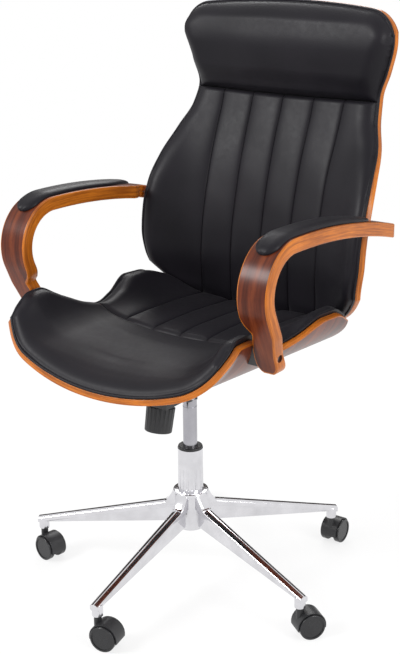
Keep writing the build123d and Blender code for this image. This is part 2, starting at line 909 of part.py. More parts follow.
def seat_ply(skin):
    stations = zip(seat_places, seat_angles)
    return [shell_section(seat_plane(p), seat_trough(p), a, skin) for p, a in stations]


with BuildPart() as seat_shell:
    loft(seat_ply(0), ruled=True)
    extrude(seat_outline(0), amount=seat_all, mode=Mode.INTERSECT)
    extrude(screw_faces(screw_radius + running_gap, screw_foot), amount=screw_length, mode=Mode.SUBTRACT)
    for side in (-1, 1):
        extrude(side_disc((bolt_y, bolt_z), arm_bolt_radius + running_gap, side * arm_bolt_end),
                amount=side * arm_width, mode=Mode.SUBTRACT)
keep("seat_shell", seat_shell.part)

with BuildPart() as seat_front_cushion:
    start = seat_seam - seat_gap / 2 - seat_front_length
    shares = front_station_shares
    front = seat_cushion(start, seat_front_length, shares, front_crown, front_crown_shares, False)
    loft(front, ruled=True)
    extrude(seat_outline(piping_inset), amount=seat_all, mode=Mode.INTERSECT)
    loft(seat_ply(seat_gap), ruled=True, mode=Mode.SUBTRACT)
keep("seat_front_cushion", seat_front_cushion.part)

# Back frame: level sections up the back, local y towards the sitter

back_span = back_head - back_foot


def back_at(height):
    """Plane, trough and edge angle of the back shell at a height."""
    at = (height - back_foot) / back_span
    lean = back_set + back_lean * between(back_height_shares, back_lean_shares, at)
    width = back_half_width * between(back_height_shares, back_width_shares, at)
    wing = back_wing * between(back_height_shares, back_wing_shares, at)
    plane = Plane(origin=(0, lean, height), x_dir=(1, 0, 0), z_dir=(0, 0, -1))
    return plane, *trough_from(width, wing)


def back_outline(inset):
    """Front view of the back, inset from the edge of the ply."""
    low = (0, back_low + inset)
    low_corner = (back_low_corner_x, back_low_corner_z + inset)
    low_side = (back_low_side_x, back_low_side_z + inset)
    top = (0, back_top - inset)
    top_corner = (back_top_corner_x, back_top_corner_z - inset)
    top_side = (back_top_side_x, back_top_side_z - inset)
    out = back_half_width + ply + overrun
    corner = (top_corner[0] + (top_side[0] - top_corner[0]) * cos(radians(45)),
              top_side[1] + (top_corner[1] - top_side[1]) * sin(radians(45)))
    with BuildSketch(Plane.XZ) as view:
        with BuildLine():
            ThreePointArc(other_side(low_corner), low, low_corner)
            Polyline(low_corner, low_side, (out, low_side[1]), (out, top_side[1]), top_side)
            ThreePointArc(top_side, corner, top_corner)
            ThreePointArc(top_corner, top, other_side(top_corner))
            ThreePointArc(other_side(top_corner), other_side(corner), other_side(top_side))
            Polyline(
                other_side(top_side),
                (-out, top_side[1]),
                (-out, low_side[1]),
                other_side(low_side),
                other_side(low_corner),
            )
        make_face()
    return view.sketch


back_reach = back_set + back_lean + ply + overrun


def back_cushion_sections(first, last, crown_at, channels):
    """Sections on the same heights as the shell, from one station to another."""
    sections = []
    for share in back_height_shares[first:last]:
        height = back_foot + share * back_span
        sections.append(cushion_section(*back_at(height), crown_at(height), channels))
    return sections


def back_crown_at(height):
    places = (back_foot, back_low + back_fade, back_head)
    return back_crown * between(places, (back_fade_share, 1, 1), height)


def head_crown_at(height):
    span = back_head - back_seam
    places = [back_seam - span] + [back_seam + s * span for s in head_rise_shares]
    return head_crown * between(places, [head_crown_shares[0]] + list(head_crown_shares), height)


def back_ply(skin):
    return [shell_section(*back_at(back_foot + share * back_span), skin) for share in back_height_shares]


with BuildPart() as back_shell:
    loft(back_ply(0), ruled=True)
    extrude(back_outline(0), amount=-back_reach, mode=Mode.INTERSECT)
    for side in (-1, 1):
        rear = (rear_screw_y, rear_screw_z)
        hole = side_disc(rear, rear_screw_radius + running_gap, side * rear_screw_end)
        extrude(hole, amount=side * arm_width, mode=Mode.SUBTRACT)
keep("back_shell", back_shell.part)

with BuildPart() as back_cushion:
    loft(back_cushion_sections(0, 12, back_crown_at, True), ruled=True)
    extrude(back_outline(piping_inset), amount=-back_reach, mode=Mode.INTERSECT)
    split(bisect_by=Plane.XY.offset(back_seam - seat_gap / 2), keep=Keep.BOTTOM)
    loft(back_ply(seat_gap), ruled=True, mode=Mode.SUBTRACT)
keep("back_cushion", back_cushion.part)

with BuildPart() as seat_rear_cushion:
    start = seat_seam + seat_gap / 2
    shares = rear_station_shares
    rear = seat_cushion(start, seat_rear_length, shares, rear_crown, rear_crown_shares, True)
    loft(rear, ruled=True)
    extrude(seat_outline(piping_inset), amount=seat_all, mode=Mode.INTERSECT)
    loft(seat_ply(seat_gap), ruled=True, mode=Mode.SUBTRACT)
    with Locations((0, -slide_gap, 0)):
        add(back_cushion.part, mode=Mode.SUBTRACT)
keep("seat_rear_cushion", seat_rear_cushion.part)

with BuildPart() as headrest_cushion:
    loft(back_cushion_sections(8, 14, head_crown_at, False), ruled=True)
    extrude(back_outline(piping_inset), amount=-back_reach, mode=Mode.INTERSECT)
    split(bisect_by=Plane.XY.offset(back_seam + seat_gap / 2), keep=Keep.TOP)
    loft(back_ply(seat_gap), ruled=True, mode=Mode.SUBTRACT)
keep("headrest_cushion", headrest_cushion.part)

# Armrests: one bent strip a side, narrowed to a round foot, notched for the back shell

arm_edge = arm_inner + arm_width
arm_middle = arm_inner + arm_width / 2
leg_foot_shoulder = leg_foot_end + leg_foot_half
leg_inner_foot_z = leg_foot_shoulder + leg_inner_rise
leg_neck_z = leg_inner_foot_z + leg_neck_rise
leg_bend_z = leg_neck_z + leg_bend_rise
leg_inner_top_z = leg_bend_z + leg_inner_top_rise
leg_outer_foot_z = leg_foot_shoulder + leg_outer_rise
leg_outer_top_z = leg_outer_foot_z + leg_outer_top_rise
block_foot = bolt_z - block_drop
block_top = bolt_z + block_rise


def arm_line(lift, start, end):
    """Arcs along the strip at a lift off its outer face, from a top angle to a turn angle."""
    top = arm_top_radius + lift
    turn = arm_turn_radius + lift
    rear = [round_point(arm_top_centre, top, a) for a in (start, (start + 90) / 2, 90)]
    front = [round_point(arm_centre, turn, a) for a in (90, (90 + end) / 2, end)]
    ThreePointArc(*rear)
    ThreePointArc(*front)
    return rear[0], front[2]


def arm_side(side):
    """Plane of the left or right strip's lower x face, seen from the side."""
    return side_view.offset(arm_inner if side > 0 else -arm_edge)


def strip_profile(side):
    end = 180 + arm_leg_angle
    with BuildSketch(arm_side(side)) as profile:
        with BuildLine():
            rear_out, front_out = arm_line(0, arm_rear_angle, end)
            rear_in, front_in = arm_line(-arm_thick, arm_rear_angle, end)
            leg = (arm_leg_length * leg_way[0], arm_leg_length * leg_way[1])
            foot_out = (front_out[0] + leg[0], front_out[1] + leg[1])
            foot_in = (front_in[0] + leg[0], front_in[1] + leg[1])
            Line(rear_out, rear_in)
            Polyline(front_out, foot_out, foot_in, front_in)
        make_face()
    return profile.sketch


def strip_front(side):
    """Front view of a strip: full width above, tapered to a round foot below."""
    half = arm_width / 2
    high = arm_turn_z + arm_turn_radius + overrun
    foot = leg_foot_half
    middle = Plane(origin=(side * arm_middle, 0, 0), x_dir=(side, 0, 0), z_dir=(0, -side, 0))
    with BuildSketch(middle) as view:
        with BuildLine():
            Polyline(
                (-foot, leg_foot_shoulder),
                (-foot, leg_inner_foot_z),
                (-leg_neck_half, leg_neck_z),
                (-leg_bend_half, leg_bend_z),
                (-half, leg_inner_top_z),
                (-half, high),
                (half, high),
                (half, leg_outer_top_z),
                (foot, leg_outer_foot_z),
                (foot, leg_foot_shoulder),
            )
            ThreePointArc(
                (-foot, leg_foot_shoulder),
                (0, leg_foot_end),
                (foot, leg_foot_shoulder),
            )
        make_face()
    return view.sketch


def strip_notch(side):
    """Plan of the cut that takes in the back shell's wing, and of the slanted rear end."""
    x0 = arm_inner
    deep = (side * (x0 + notch_deep_x), notch_deep_y)
    start = (side * (x0 - overrun), notch_front)
    with BuildSketch() as plan:
        with BuildLine():
            ThreePointArc(
                (side * x0, notch_front),
                (side * (x0 + notch_mid_x), notch_mid_y),
                deep,
            )
            Polyline(
                deep,
                (deep[0], notch_back_y),
                (side * (x0 + notch_heel_x), notch_heel_y),
                (side * (x0 + notch_end_x), notch_end_y),
                (side * (x0 + notch_end_x), notch_end_y + overrun),
                (side * (x0 - overrun), notch_end_y + overrun),
                start,
                (side * x0, notch_front),
            )
        make_face()
    return plan.sketch


def pad_plan(side):
    """Plan of an arm pad: round nose, then a long taper to a point on the outer side."""
    inner = arm_inner + pad_inset
    outer = arm_edge - pad_inset
    tip = (side * (arm_inner + pad_rear_x), pad_rear)
    with BuildSketch() as plan:
        with BuildLine():
            nose = (side * (inner + outer) / 2, pad_front)
            inner_nose = (side * inner, pad_front + pad_nose)
            outer_nose = (side * outer, pad_front + pad_nose)
            ThreePointArc(inner_nose, nose, outer_nose)
            Line(outer_nose, (side * outer, pad_waist_y))
            Spline((side * outer, pad_waist_y), tip, tangents=((0, 1), (-side * pad_tip_slope, 1)))
            Spline(tip, (side * inner, pad_waist_y), tangents=((-side * pad_tip_slope, -1), (0, -1)))
            Line((side * inner, pad_waist_y), inner_nose)
        make_face()
    return plan.sketch


def pad_band(side):
    nose_angle = 90 + degrees(asin((arm_turn_y - pad_front + pad_round) / arm_turn_radius))
    with BuildSketch(arm_side(side)) as band:
        with BuildLine():
            rear_low, nose_low = arm_line(seat_gap, arm_rear_angle, nose_angle)
            rear_high, nose_high = arm_line(pad_thick, arm_rear_angle, nose_angle)
            Line(rear_low, rear_high)
            Line(nose_low, nose_high)
        make_face()
    return band.sketch


def shell_side():
    """Section of the space under the seat shell's wings, a gap larger all round."""
    edge = trough_point(seat_middle_trough, seat_block_angle, -ply - seat_gap)
    with BuildSketch(seat_plane(seat_back)) as section:
        with BuildLine():
            trough_arcs(seat_middle_trough, seat_block_angle, -ply - seat_gap)
            Line(edge, other_side(edge))
        make_face()
    return section.sketch


arm_high = arm_turn_z + arm_turn_radius + pad_thick + overrun
seat_length = seat_back - seat_front

for side, name in ((-1, "right"), (1, "left")):
    with BuildPart() as armrest:
        extrude(strip_profile(side), amount=arm_width)
        rims = armrest.faces().filter_by(Axis.X).edges()
        fillet(rims, arm_round)
        extrude(strip_front(side), amount=arm_high, both=True, mode=Mode.INTERSECT)
        extrude(strip_notch(side), amount=arm_high, mode=Mode.SUBTRACT)
        extrude(shell_side(), amount=seat_length, mode=Mode.SUBTRACT)
        head_x = side * (arm_middle + leg_foot_half - arm_bolt_sink)
        extrude(side_disc((bolt_y, bolt_z), arm_bolt_radius + running_gap, side * arm_inner),
                amount=side * arm_width, mode=Mode.SUBTRACT)
        counterbore = arm_bolt_head_radius + running_gap
        extrude(side_disc((bolt_y, bolt_z), counterbore, head_x - side * arm_bolt_head),
                amount=side * arm_width, mode=Mode.SUBTRACT)
        rear = (rear_screw_y, rear_screw_z)
        extrude(side_disc(rear, rear_screw_radius + running_gap, side * arm_inner),
                amount=side * arm_width, mode=Mode.SUBTRACT)
        sunk = side * (arm_edge - rear_screw_sink - rear_screw_head)
        extrude(side_disc(rear, rear_screw_head_radius + running_gap, sunk),
                amount=side * arm_width, mode=Mode.SUBTRACT)
    keep(f"{name}_armrest", armrest.part)

    with BuildPart() as arm_pad:
        extrude(pad_band(side), amount=arm_width)
        extrude(pad_plan(side), amount=arm_high, mode=Mode.INTERSECT)
    keep(f"{name}_arm_pad", arm_pad.part)

    with BuildPart() as seat_block:
        depth = arm_thick / cos(leg_slope)
        with BuildSketch(side_view.offset(side * block_inner)):
            with BuildLine():
                Polyline(
                    (leg_front_y(block_foot) + block_inset, block_foot),
                    (leg_front_y(block_top) + block_inset, block_top),
                    (leg_front_y(block_top) + depth - block_inset, block_top),
                    (leg_front_y(block_foot) + depth - block_inset, block_foot),
                    close=True,
                )
            make_face()
        extrude(amount=side * (arm_middle - block_inner))
        extrude(shell_side(), amount=seat_length, mode=Mode.SUBTRACT)
        add(armrest.part, mode=Mode.SUBTRACT)
        extrude(side_disc((bolt_y, bolt_z), arm_bolt_radius + running_gap, side * block_inner),
                amount=side * (arm_edge - block_inner), mode=Mode.SUBTRACT)
    keep(f"{name}_seat_block", seat_block.part)

with BuildPart() as arm_bolts:
    for side in (-1, 1):
        tip = side * arm_bolt_end
        head_x = side * (arm_middle + leg_foot_half - arm_bolt_sink)
        extrude(side_disc((bolt_y, bolt_z), arm_bolt_radius, tip), amount=head_x - tip)
        extrude(side_disc((bolt_y, bolt_z), arm_bolt_head_radius, head_x), amount=-side * arm_bolt_head)
keep("arm_bolts", arm_bolts.part)

with BuildPart() as rear_screws:
    for side in (-1, 1):
        rear = (rear_screw_y, rear_screw_z)
        tip = side * (rear_screw_end + slide_gap)
        head_x = side * (arm_edge - rear_screw_sink)
        extrude(side_disc(rear, rear_screw_radius, tip), amount=head_x - tip)
        extrude(side_disc(rear, rear_screw_head_radius, head_x), amount=-side * rear_screw_head)
keep("rear_screws", rear_screws.part)

# Casters: a hooded body that swivels on its stem, and two wheels on one axle

neck_top = socket_foot - slide_gap
hood_bore = wheel_radius + hood_clear
hood_radius = hood_bore + hood_wall
axle = (trail, wheel_radius)
axle_half = wheel_inset + wheel_width - wheel_cap


def caster_disc(plane, radius, offset):
    """Round face about the axle, offset along it."""
    with BuildSketch(plane.offset(offset)) as face:
        with Locations(axle):
            Circle(radius)
    return face.sketch


def hood_face(plane, bore):
    """Side view of the hood, cut level a little below the axle."""
    with BuildSketch(plane) as face:
        with Locations(axle):
            Circle(hood_radius)
            if bore:
                Circle(bore, mode=Mode.SUBTRACT)
        with Locations((trail, wheel_radius - hood_drop - hood_radius)):
            Rectangle(2 * hood_radius, 2 * hood_radius, mode=Mode.SUBTRACT)
    return face.sketch


for number, (leg_turn, caster_turn) in enumerate(zip(leg_turns, caster_turns), start=1):
    x = star_reach * cos(radians(leg_turn))
    y = star_reach * sin(radians(leg_turn))
    plane = upright(x, y, caster_turn)

    with BuildPart() as caster_body:
        extrude(hood_face(plane, hood_bore), amount=hood_half_width, both=True)
        extrude(hood_face(plane, 0), amount=web_half_width, both=True)
        with BuildSketch(Plane.XY.offset(wheel_radius + hood_drop)):
            with Locations((x, y)):
                Circle(neck_radius)
        extrude(amount=neck_top - wheel_radius - hood_drop)
        with BuildSketch(Plane.XY.offset(neck_top - stem_depth)):
            with Locations((x, y)):
                Circle(stem_radius + running_gap)
        extrude(amount=stem_depth, mode=Mode.SUBTRACT)
        axle_bore = caster_disc(plane, axle_radius + running_gap, 0)
        extrude(axle_bore, amount=web_half_width, both=True, mode=Mode.SUBTRACT)
    keep(f"caster_{number}_body", caster_body.part)

    with BuildPart() as caster_stem:
        with BuildSketch(Plane.XY.offset(neck_top - stem_depth)):
            with Locations((x, y)):
                Circle(stem_radius)
        extrude(amount=stem_depth + slide_gap + stem_rise)
    keep(f"caster_{number}_stem", caster_stem.part)

    with BuildPart() as caster_axle:
        extrude(caster_disc(plane, axle_radius, 0), amount=axle_half - slide_gap, both=True)
    keep(f"caster_{number}_axle", caster_axle.part)

    for side, hand in ((-1, "a"), (1, "b")):
        with BuildPart() as wheel:
            extrude(caster_disc(plane, wheel_radius, side * wheel_inset), amount=side * wheel_width)
            rims = wheel.edges().filter_by(lambda e: e.geom_type == GeomType.CIRCLE)
            fillet(rims, wheel_round)
            dish = wheel_radius - wheel_round - wheel_ring_width
            face = caster_disc(plane, dish, side * (wheel_inset + wheel_width))
            extrude(face, amount=-side * wheel_dish, mode=Mode.SUBTRACT)
            bore = caster_disc(plane, axle_radius + running_gap, side * wheel_inset)
            extrude(bore, amount=side * (wheel_width - wheel_cap), mode=Mode.SUBTRACT)
        keep(f"caster_{number}_wheel_{hand}", wheel.part)
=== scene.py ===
import json
import math

import bpy
import numpy as np
from mathutils import Matrix, Vector
from mathutils.kdtree import KDTree


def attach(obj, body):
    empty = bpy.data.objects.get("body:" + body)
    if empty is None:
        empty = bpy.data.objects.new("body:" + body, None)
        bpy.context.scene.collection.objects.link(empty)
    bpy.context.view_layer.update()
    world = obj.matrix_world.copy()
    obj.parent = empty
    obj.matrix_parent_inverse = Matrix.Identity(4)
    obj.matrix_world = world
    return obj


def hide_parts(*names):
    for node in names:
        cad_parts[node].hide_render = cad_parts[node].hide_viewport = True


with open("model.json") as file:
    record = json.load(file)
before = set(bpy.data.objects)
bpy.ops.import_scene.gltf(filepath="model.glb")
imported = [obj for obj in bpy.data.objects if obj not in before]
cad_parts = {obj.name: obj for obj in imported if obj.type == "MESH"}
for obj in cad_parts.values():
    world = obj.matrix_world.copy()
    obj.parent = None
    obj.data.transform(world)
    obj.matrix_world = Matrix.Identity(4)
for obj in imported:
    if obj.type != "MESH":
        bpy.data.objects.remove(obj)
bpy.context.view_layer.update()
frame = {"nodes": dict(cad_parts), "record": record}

bpy.context.scene.view_settings.view_transform = "Standard"

# Lengths below are millimetres in the chair's frame; MM turns them into the scene's metres.
MM = 0.001

# Rounding of the sharp edges of some CAD nodes
EDGE_ROUND = 0.8
EDGE_SHARP = math.radians(35)

# Seat frame: a trough that falls towards the back
SEAT_TILT = math.radians(3.1)
SEAT_Z = 455.2
SEAT_FLAT_RADIUS = 400.0
SEAT_FLAT_ANGLE = math.radians(22.0)
SEAT_WING_RADIUS = 155.5
SEAT_FRONT_FLAT_RADIUS = 560.0
SEAT_FRONT_FLAT_ANGLE = math.radians(18.0)
SEAT_FRONT_WING_RADIUS = 150.0
SEAT_FRONT_RISE = 9.7
SEAT_WING_ANGLE = math.radians(74.0)
SEAT_FRONT = -285.0
SEAT_BACK = 245.0
SEAT_STATION_SHARES = (
    0.0, 0.079, 0.125, 0.179, 0.236, 0.311, 0.406, 0.491, 0.585, 0.705, 0.785, 0.89, 1.0,
)
SEAT_EDGE_SHARES = (
    0.64, 0.735, 0.86, 0.975, 0.985, 0.90, 0.765, 0.71, 0.773, 0.907, 0.905, 0.795, 0.62,
)
SEAT_FRONT_SHARES = (1.0, 0.5, 0.25) + (0.0,) * 10
SEAT_FRONT_CENTRE = -281.0
SEAT_FRONT_CORNER = (198.0, -260.5)
SEAT_FRONT_TURN_X = 180.0
SEAT_FRONT_SIDE = (240.0, -232.0)
SEAT_REAR_CENTRE = 236.0
SEAT_REAR_CORNER = (208.0, 228.0)
SEAT_REAR_TURN_X = 186.0
SEAT_REAR_TURN_WIDTH = 26.0
SEAT_REAR_TURN_DROP = 14.0
SEAT_SEAM = -36.0
SURFACE_TRIES = 5
HALF_TRIES = 4
COVER_HALF = 200.0
COVER_TRIES = 12
PLY = 12.0
RING_TURNS = (22.5, 45.0, 67.5, 90.0)
SHELL_ROUND = 2.0
SHELL_COLUMNS = (46, 46)
SHELL_ROWS = 90

# Back frame: level sections that lean and wrap with height
BACK_FOOT = 455.0
BACK_HEAD = 1110.0
BACK_SET = 263.0
BACK_LEAN = 89.0
BACK_HALF_WIDTH = 259.3
BACK_WING = 84.0
BACK_FLAT_SHARE = 0.45
BACK_FLAT_SLOPE_SHARE = 0.6
BACK_HEIGHT_SHARES = (
    0.0, 0.069, 0.13, 0.206, 0.282, 0.359, 0.435,
    0.511, 0.588, 0.664, 0.725, 0.802, 0.893, 1.0,
)
BACK_LEAN_SHARES = (
    0.056, 0.034, 0.017, 0.0, 0.045, 0.14, 0.27,
    0.427, 0.618, 0.831, 0.955, 1.0, 0.955, 0.888,
)
BACK_WIDTH_SHARES = (
    0.791, 0.856, 0.922, 0.972, 0.999, 1.0, 0.993,
    0.964, 0.91, 0.833, 0.814, 0.875, 0.926, 0.926,
)
BACK_WING_SHARES = (
    0.452, 0.548, 0.679, 0.899, 0.976, 1.0, 0.929,
    0.714, 0.405, 0.262, 0.226, 0.286, 0.28, 0.202,
)
BACK_LOW = 466.0
BACK_LOW_CORNER = (205.0, 514.0)
BACK_LOW_TURN_X = 180.0
BACK_LOW_SIDE = (236.0, 553.0)
BACK_TOP = 1104.0
BACK_TOP_CORNER = (190.0, 1094.0)
BACK_TOP_ROUND_X = 52.0
BACK_TOP_ROUND = 52.0
BACK_TOP_ROUND_END = 0.97
BACK_SEAM = 915.0
SEAM_END_RISE = 5.5

# Armrests: a strip that runs over the top, round the turn and down the leg
ARM_INNER = 240.0
ARM_WIDTH = 60.0
ARM_THICK = 26.0
ARM_ROUND = 3.0
ARM_TURN = (-99.0, 672.0)
ARM_TURN_RADIUS = 90.0
ARM_TOP_RADIUS = 1294.0
ARM_REAR = 243.0
ARM_LEG_ANGLE = math.radians(24.0)
ARM_NOTCH_STEPS = (190.0, 212.5, 220.5)
ARM_NOTCH_LINES_FROM = 130.0
ARM_LINES = 60
ARM_TURN_LINES = 64
ARM_COLUMNS = 25
ARM_NOTCH_Y = (-150.0, 143.0, 152.0, 160.0, 175.0, 190.0, 212.5, 220.5, 251.0)
ARM_NOTCH_X = (0.0, 0.0, 3.4, 8.0, 18.0, 28.2, 28.2, 20.0, 52.0)
LEG_INNER_Z = (527.0, 548.0, 568.0, 580.0, 592.0, 606.0, 613.0, 620.0, 636.0, 900.0)
LEG_INNER_X = (7.0, 7.0, 8.2, 10.6, 13.4, 16.6, 12.0, 5.6, 0.2, 0.0)
LEG_OUTER_Z = (527.0, 548.0, 560.0, 583.0, 606.0, 900.0)
LEG_OUTER_X = (51.0, 51.0, 51.4, 55.5, 60.0, 60.0)
LEG_FOOT = 527.0
LEG_FOOT_HALF = 22.0
LEG_FOOT_POWER = 2.2
LEG_LEAST_HALF = 0.4
BOLT_PLACE = (282.5, -133.0, 559.0)
BOLT_RECESS_RADIUS = 6.8
BOLT_RECESS_REACH = 30.0
BOLT_RECESS_SIDES = 48
PAD_FRONT = -157.0
PAD_NOSE = 21.0
PAD_WAIST = 40.0
PAD_TIP = 172.0
PAD_TIP_X = 43.0
PAD_SIDE = 7.0
PAD_TIP_SLOPE = 0.4
PAD_HIGH = 9.0
PAD_ENDS = (0.3, 1.2)
PAD_ROWS = 120
PAD_COLUMNS = 40
PAD_ROLL = 15.0
PAD_ROLL_POWER = 2.1

# Star base: hub, legs with crowned bar and hollow web, shoulders and caster sockets
BASE_LEGS = 5
BASE_TURN = 130.0
BASE_REACH = 314.6
HUB = ((0.0, 110.0), (32.0, 110.0), (32.0, 177.0), (35.0, 178.5), (35.0, 186.0), (0.0, 186.0))
HUB_ROUNDS = (0.0, 2.0, 1.2, 1.2, 2.2, 0.0)
HUB_SIDES = 144
LEG_ROOT = 28.5
LEG_END = 325.0
LEG_TOP = (162.0, 89.5)
LEG_UNDER = (114.0, 76.5)
LEG_WIDTH = (21.0, 18.0)
LEG_BAR = (15.0, 12.0)
LEG_CROWN = 3.6
LEG_CROWN_LINES = 13
LEG_CROWN_SHARE = 0.86
LEG_EDGE_ROUND = 2.2
LEG_BAR_ROUND = 1.2
LEG_NECK_ROUND = 1.0
LEG_UNDER_ROUND = 0.6
LEG_WEB_LEAST = 1.0
LEG_WEB_HALF = 6.5
LEG_WALL = 2.6
LEG_ROOF = 8.0
LEG_HOLLOW = (36.0, 300.0)
LEG_HOLLOW_START = 0.2
LEG_HOLLOW_LINES = 24
LEG_SOLID_ROOF = 0.02
SHOULDER_START = 0.5
SHOULDER_REACH = 51.0
SHOULDER_LINES = 20
SHOULDER_TOP = 184.0
SHOULDER_HALF = (13.0, 11.2)
SHOULDER_LEVEL = 0.22
SHOULDER_POWER = 1.7
SHOULDER_OVER = 1.4
SHOULDER_EDGE = 1.6
SHOULDER_DEEP = 9.0
SHOULDER_ROUNDS = (3.4, 6.0, 6.0, 3.4, 1.0, 1.0)
SOCKET = ((0.0, 61.0), (10.5, 61.0), (10.5, 84.0), (0.0, 84.0))
SOCKET_ROUNDS = (0.0, 1.2, 0.6, 0.0)
STEM_BORE = ((0.0, 50.0), (5.05, 50.0), (5.05, 82.5), (0.0, 82.5))
COLUMN_BORE = ((0.0, 90.0), (25.05, 90.0), (25.05, 200.0), (0.0, 200.0))
BASE_SHARP = math.radians(38)
ROUND_STEPS = 4

# Cushions
PAD_INSET = -1.5
PAD_FOOT = 0.5
WELT = 2.4
WELT_GROOVE = 2.6
CHANNEL_PITCH = 72.0
CHANNELS = (-144.0, -72.0, 0.0, 72.0, 144.0)
CHANNEL_POWER = 2.6
SEAM_GAP = 0.3
SEAM_POWER = 2.2
ROLL_POWER = 2.3
CORNER_POWER = 4.0
SWELL_SIZE = 62.0
SWELL_HEIGHT = 0.7
PLAIN_GRID = ((0.0,), (80, 80))
CHANNEL_GRID = (CHANNELS, (44, 22, 22, 22, 22, 44))

# Fullness of the cushions: axis, places along it, crown there, and the fall to CROWN_HALF
CROWN_HALF = 144
SEAT_FRONT_FULL = (1, (-285, -262, -235, -195, -150, -90, -36), (17, 26, 38, 49, 55, 60, 60), 14)
SEAT_FRONT_FALL = ((-285, -200, -36), (0.25, 0.7, 1))
SEAT_REAR_FULL = (1, (-36, 40, 120, 200, 240), (62, 68, 70, 68, 62), 17)
BACK_FULL = (2, (466, 530, 700, 880, 916), (20, 29, 30, 30, 30), 3)
HEAD_FULL = (2, (916, 940, 975, 1020, 1070, 1104), (28, 42, 58, 62, 50, 30), 8)


def smooth(places, values, at):
    """Values between the given ones, on a curve that doesn't overshoot them."""
    places, values, at = np.asarray(places, float), np.asarray(values, float), np.asarray(at, float)
    steps = np.diff(places)
    slopes = np.diff(values) / steps
    bends = np.zeros(len(values))
    same_way = slopes[1:] * slopes[:-1] > 0
    inner = np.zeros(len(slopes) - 1)
    inner[same_way] = 2 / (1 / slopes[1:][same_way] + 1 / slopes[:-1][same_way])
    bends[1:-1] = inner
    bends[0], bends[-1] = slopes[0], slopes[-1]
    i = np.clip(np.searchsorted(places, at) - 1, 0, len(steps) - 1)
    t = np.clip((at - places[i]) / steps[i], 0, 1)
    return (
        values[i] * (1 + 2 * t) * (1 - t) ** 2
        + values[i + 1] * t**2 * (3 - 2 * t)
        + bends[i] * steps[i] * t * (1 - t) ** 2
        - bends[i + 1] * steps[i] * t**2 * (1 - t)
    )


def trough_height(x, flat, edge, wing):
    """Height of a trough above its middle at x: a flat arc, then a tighter wing arc."""
    x = np.abs(x)
    turn = flat * np.sin(edge)
    centre_x = (flat - wing) * np.sin(edge)
    centre_z = flat - (flat - wing) * np.cos(edge)
    on_flat = flat - np.sqrt(np.maximum(flat**2 - np.minimum(x, turn) ** 2, 0))
    on_wing = centre_z - np.sqrt(np.maximum(wing**2 - (np.maximum(x, turn) - centre_x) ** 2, 0))
    return np.where(x <= turn, on_flat, on_wing)


class Seat:
    """The seat's inner ply surface over its plan: x across and y back."""

    places = SEAT_FRONT + np.array(SEAT_STATION_SHARES) * (SEAT_BACK - SEAT_FRONT)
    angles = np.array(SEAT_EDGE_SHARES) * SEAT_WING_ANGLE

    def trough(self, along):
        """Radii and turn of the trough, which opens out and rises towards the front."""
        share = smooth(self.places, SEAT_FRONT_SHARES, along)
        flat = SEAT_FLAT_RADIUS + (SEAT_FRONT_FLAT_RADIUS - SEAT_FLAT_RADIUS) * share
        edge = SEAT_FLAT_ANGLE + (SEAT_FRONT_FLAT_ANGLE - SEAT_FLAT_ANGLE) * share
        wing = SEAT_WING_RADIUS + (SEAT_FRONT_WING_RADIUS - SEAT_WING_RADIUS) * share
        return flat, edge, wing, SEAT_FRONT_RISE * share

    def lift(self, x, y):
        """Height of the ply at x and y over the seat's axis, and the place along it."""
        rise = 0.0
        for _ in range(SURFACE_TRIES):
            along = (y - rise * math.sin(SEAT_TILT)) / math.cos(SEAT_TILT)
            flat, edge, wing, low = self.trough(along)
            rise = low + trough_height(x, flat, edge, wing)
        return rise, along

    def half(self, y):
        """Half-width of the ply at y."""
        along = y
        for _ in range(HALF_TRIES):
            flat, edge, wing, low = self.trough(along)
            angle = smooth(self.places, self.angles, along)
            x = (flat - wing) * np.sin(edge) + wing * np.sin(angle)
            rise = low + trough_height(x, flat, edge, wing)
            along = (y - rise * math.sin(SEAT_TILT)) / math.cos(SEAT_TILT)
        return x

    def low(self, x):
        """Front outline of the ply."""
        x = np.abs(x)
        rise = SEAT_FRONT_CORNER[1] - SEAT_FRONT_CENTRE
        middle = SEAT_FRONT_CENTRE + rise * (x / SEAT_FRONT_CORNER[0]) ** 2
        side = SEAT_FRONT_CENTRE + rise * (SEAT_FRONT_SIDE[0] / SEAT_FRONT_CORNER[0]) ** 2
        turn = np.maximum(x - SEAT_FRONT_TURN_X, 0) / (SEAT_FRONT_SIDE[0] - SEAT_FRONT_TURN_X)
        return middle + (SEAT_FRONT_SIDE[1] - side) * turn**2

    def high(self, x):
        """Rear outline of the ply."""
        x = np.abs(x)
        rise = SEAT_REAR_CORNER[1] - SEAT_REAR_CENTRE
        middle = SEAT_REAR_CENTRE + rise * (x / SEAT_REAR_CORNER[0]) ** 2
        turn = np.maximum(x - SEAT_REAR_TURN_X, 0) / SEAT_REAR_TURN_WIDTH
        return middle - SEAT_REAR_TURN_DROP * turn**2

    def point(self, x, y):
        """Points of the ply's inner surface."""
        rise, along = self.lift(x, y)
        z = SEAT_Z - along * math.sin(SEAT_TILT) + rise * math.cos(SEAT_TILT)
        return np.stack([x, y, z], axis=-1)

    facing = np.array([0.0, 0.0, 1.0])


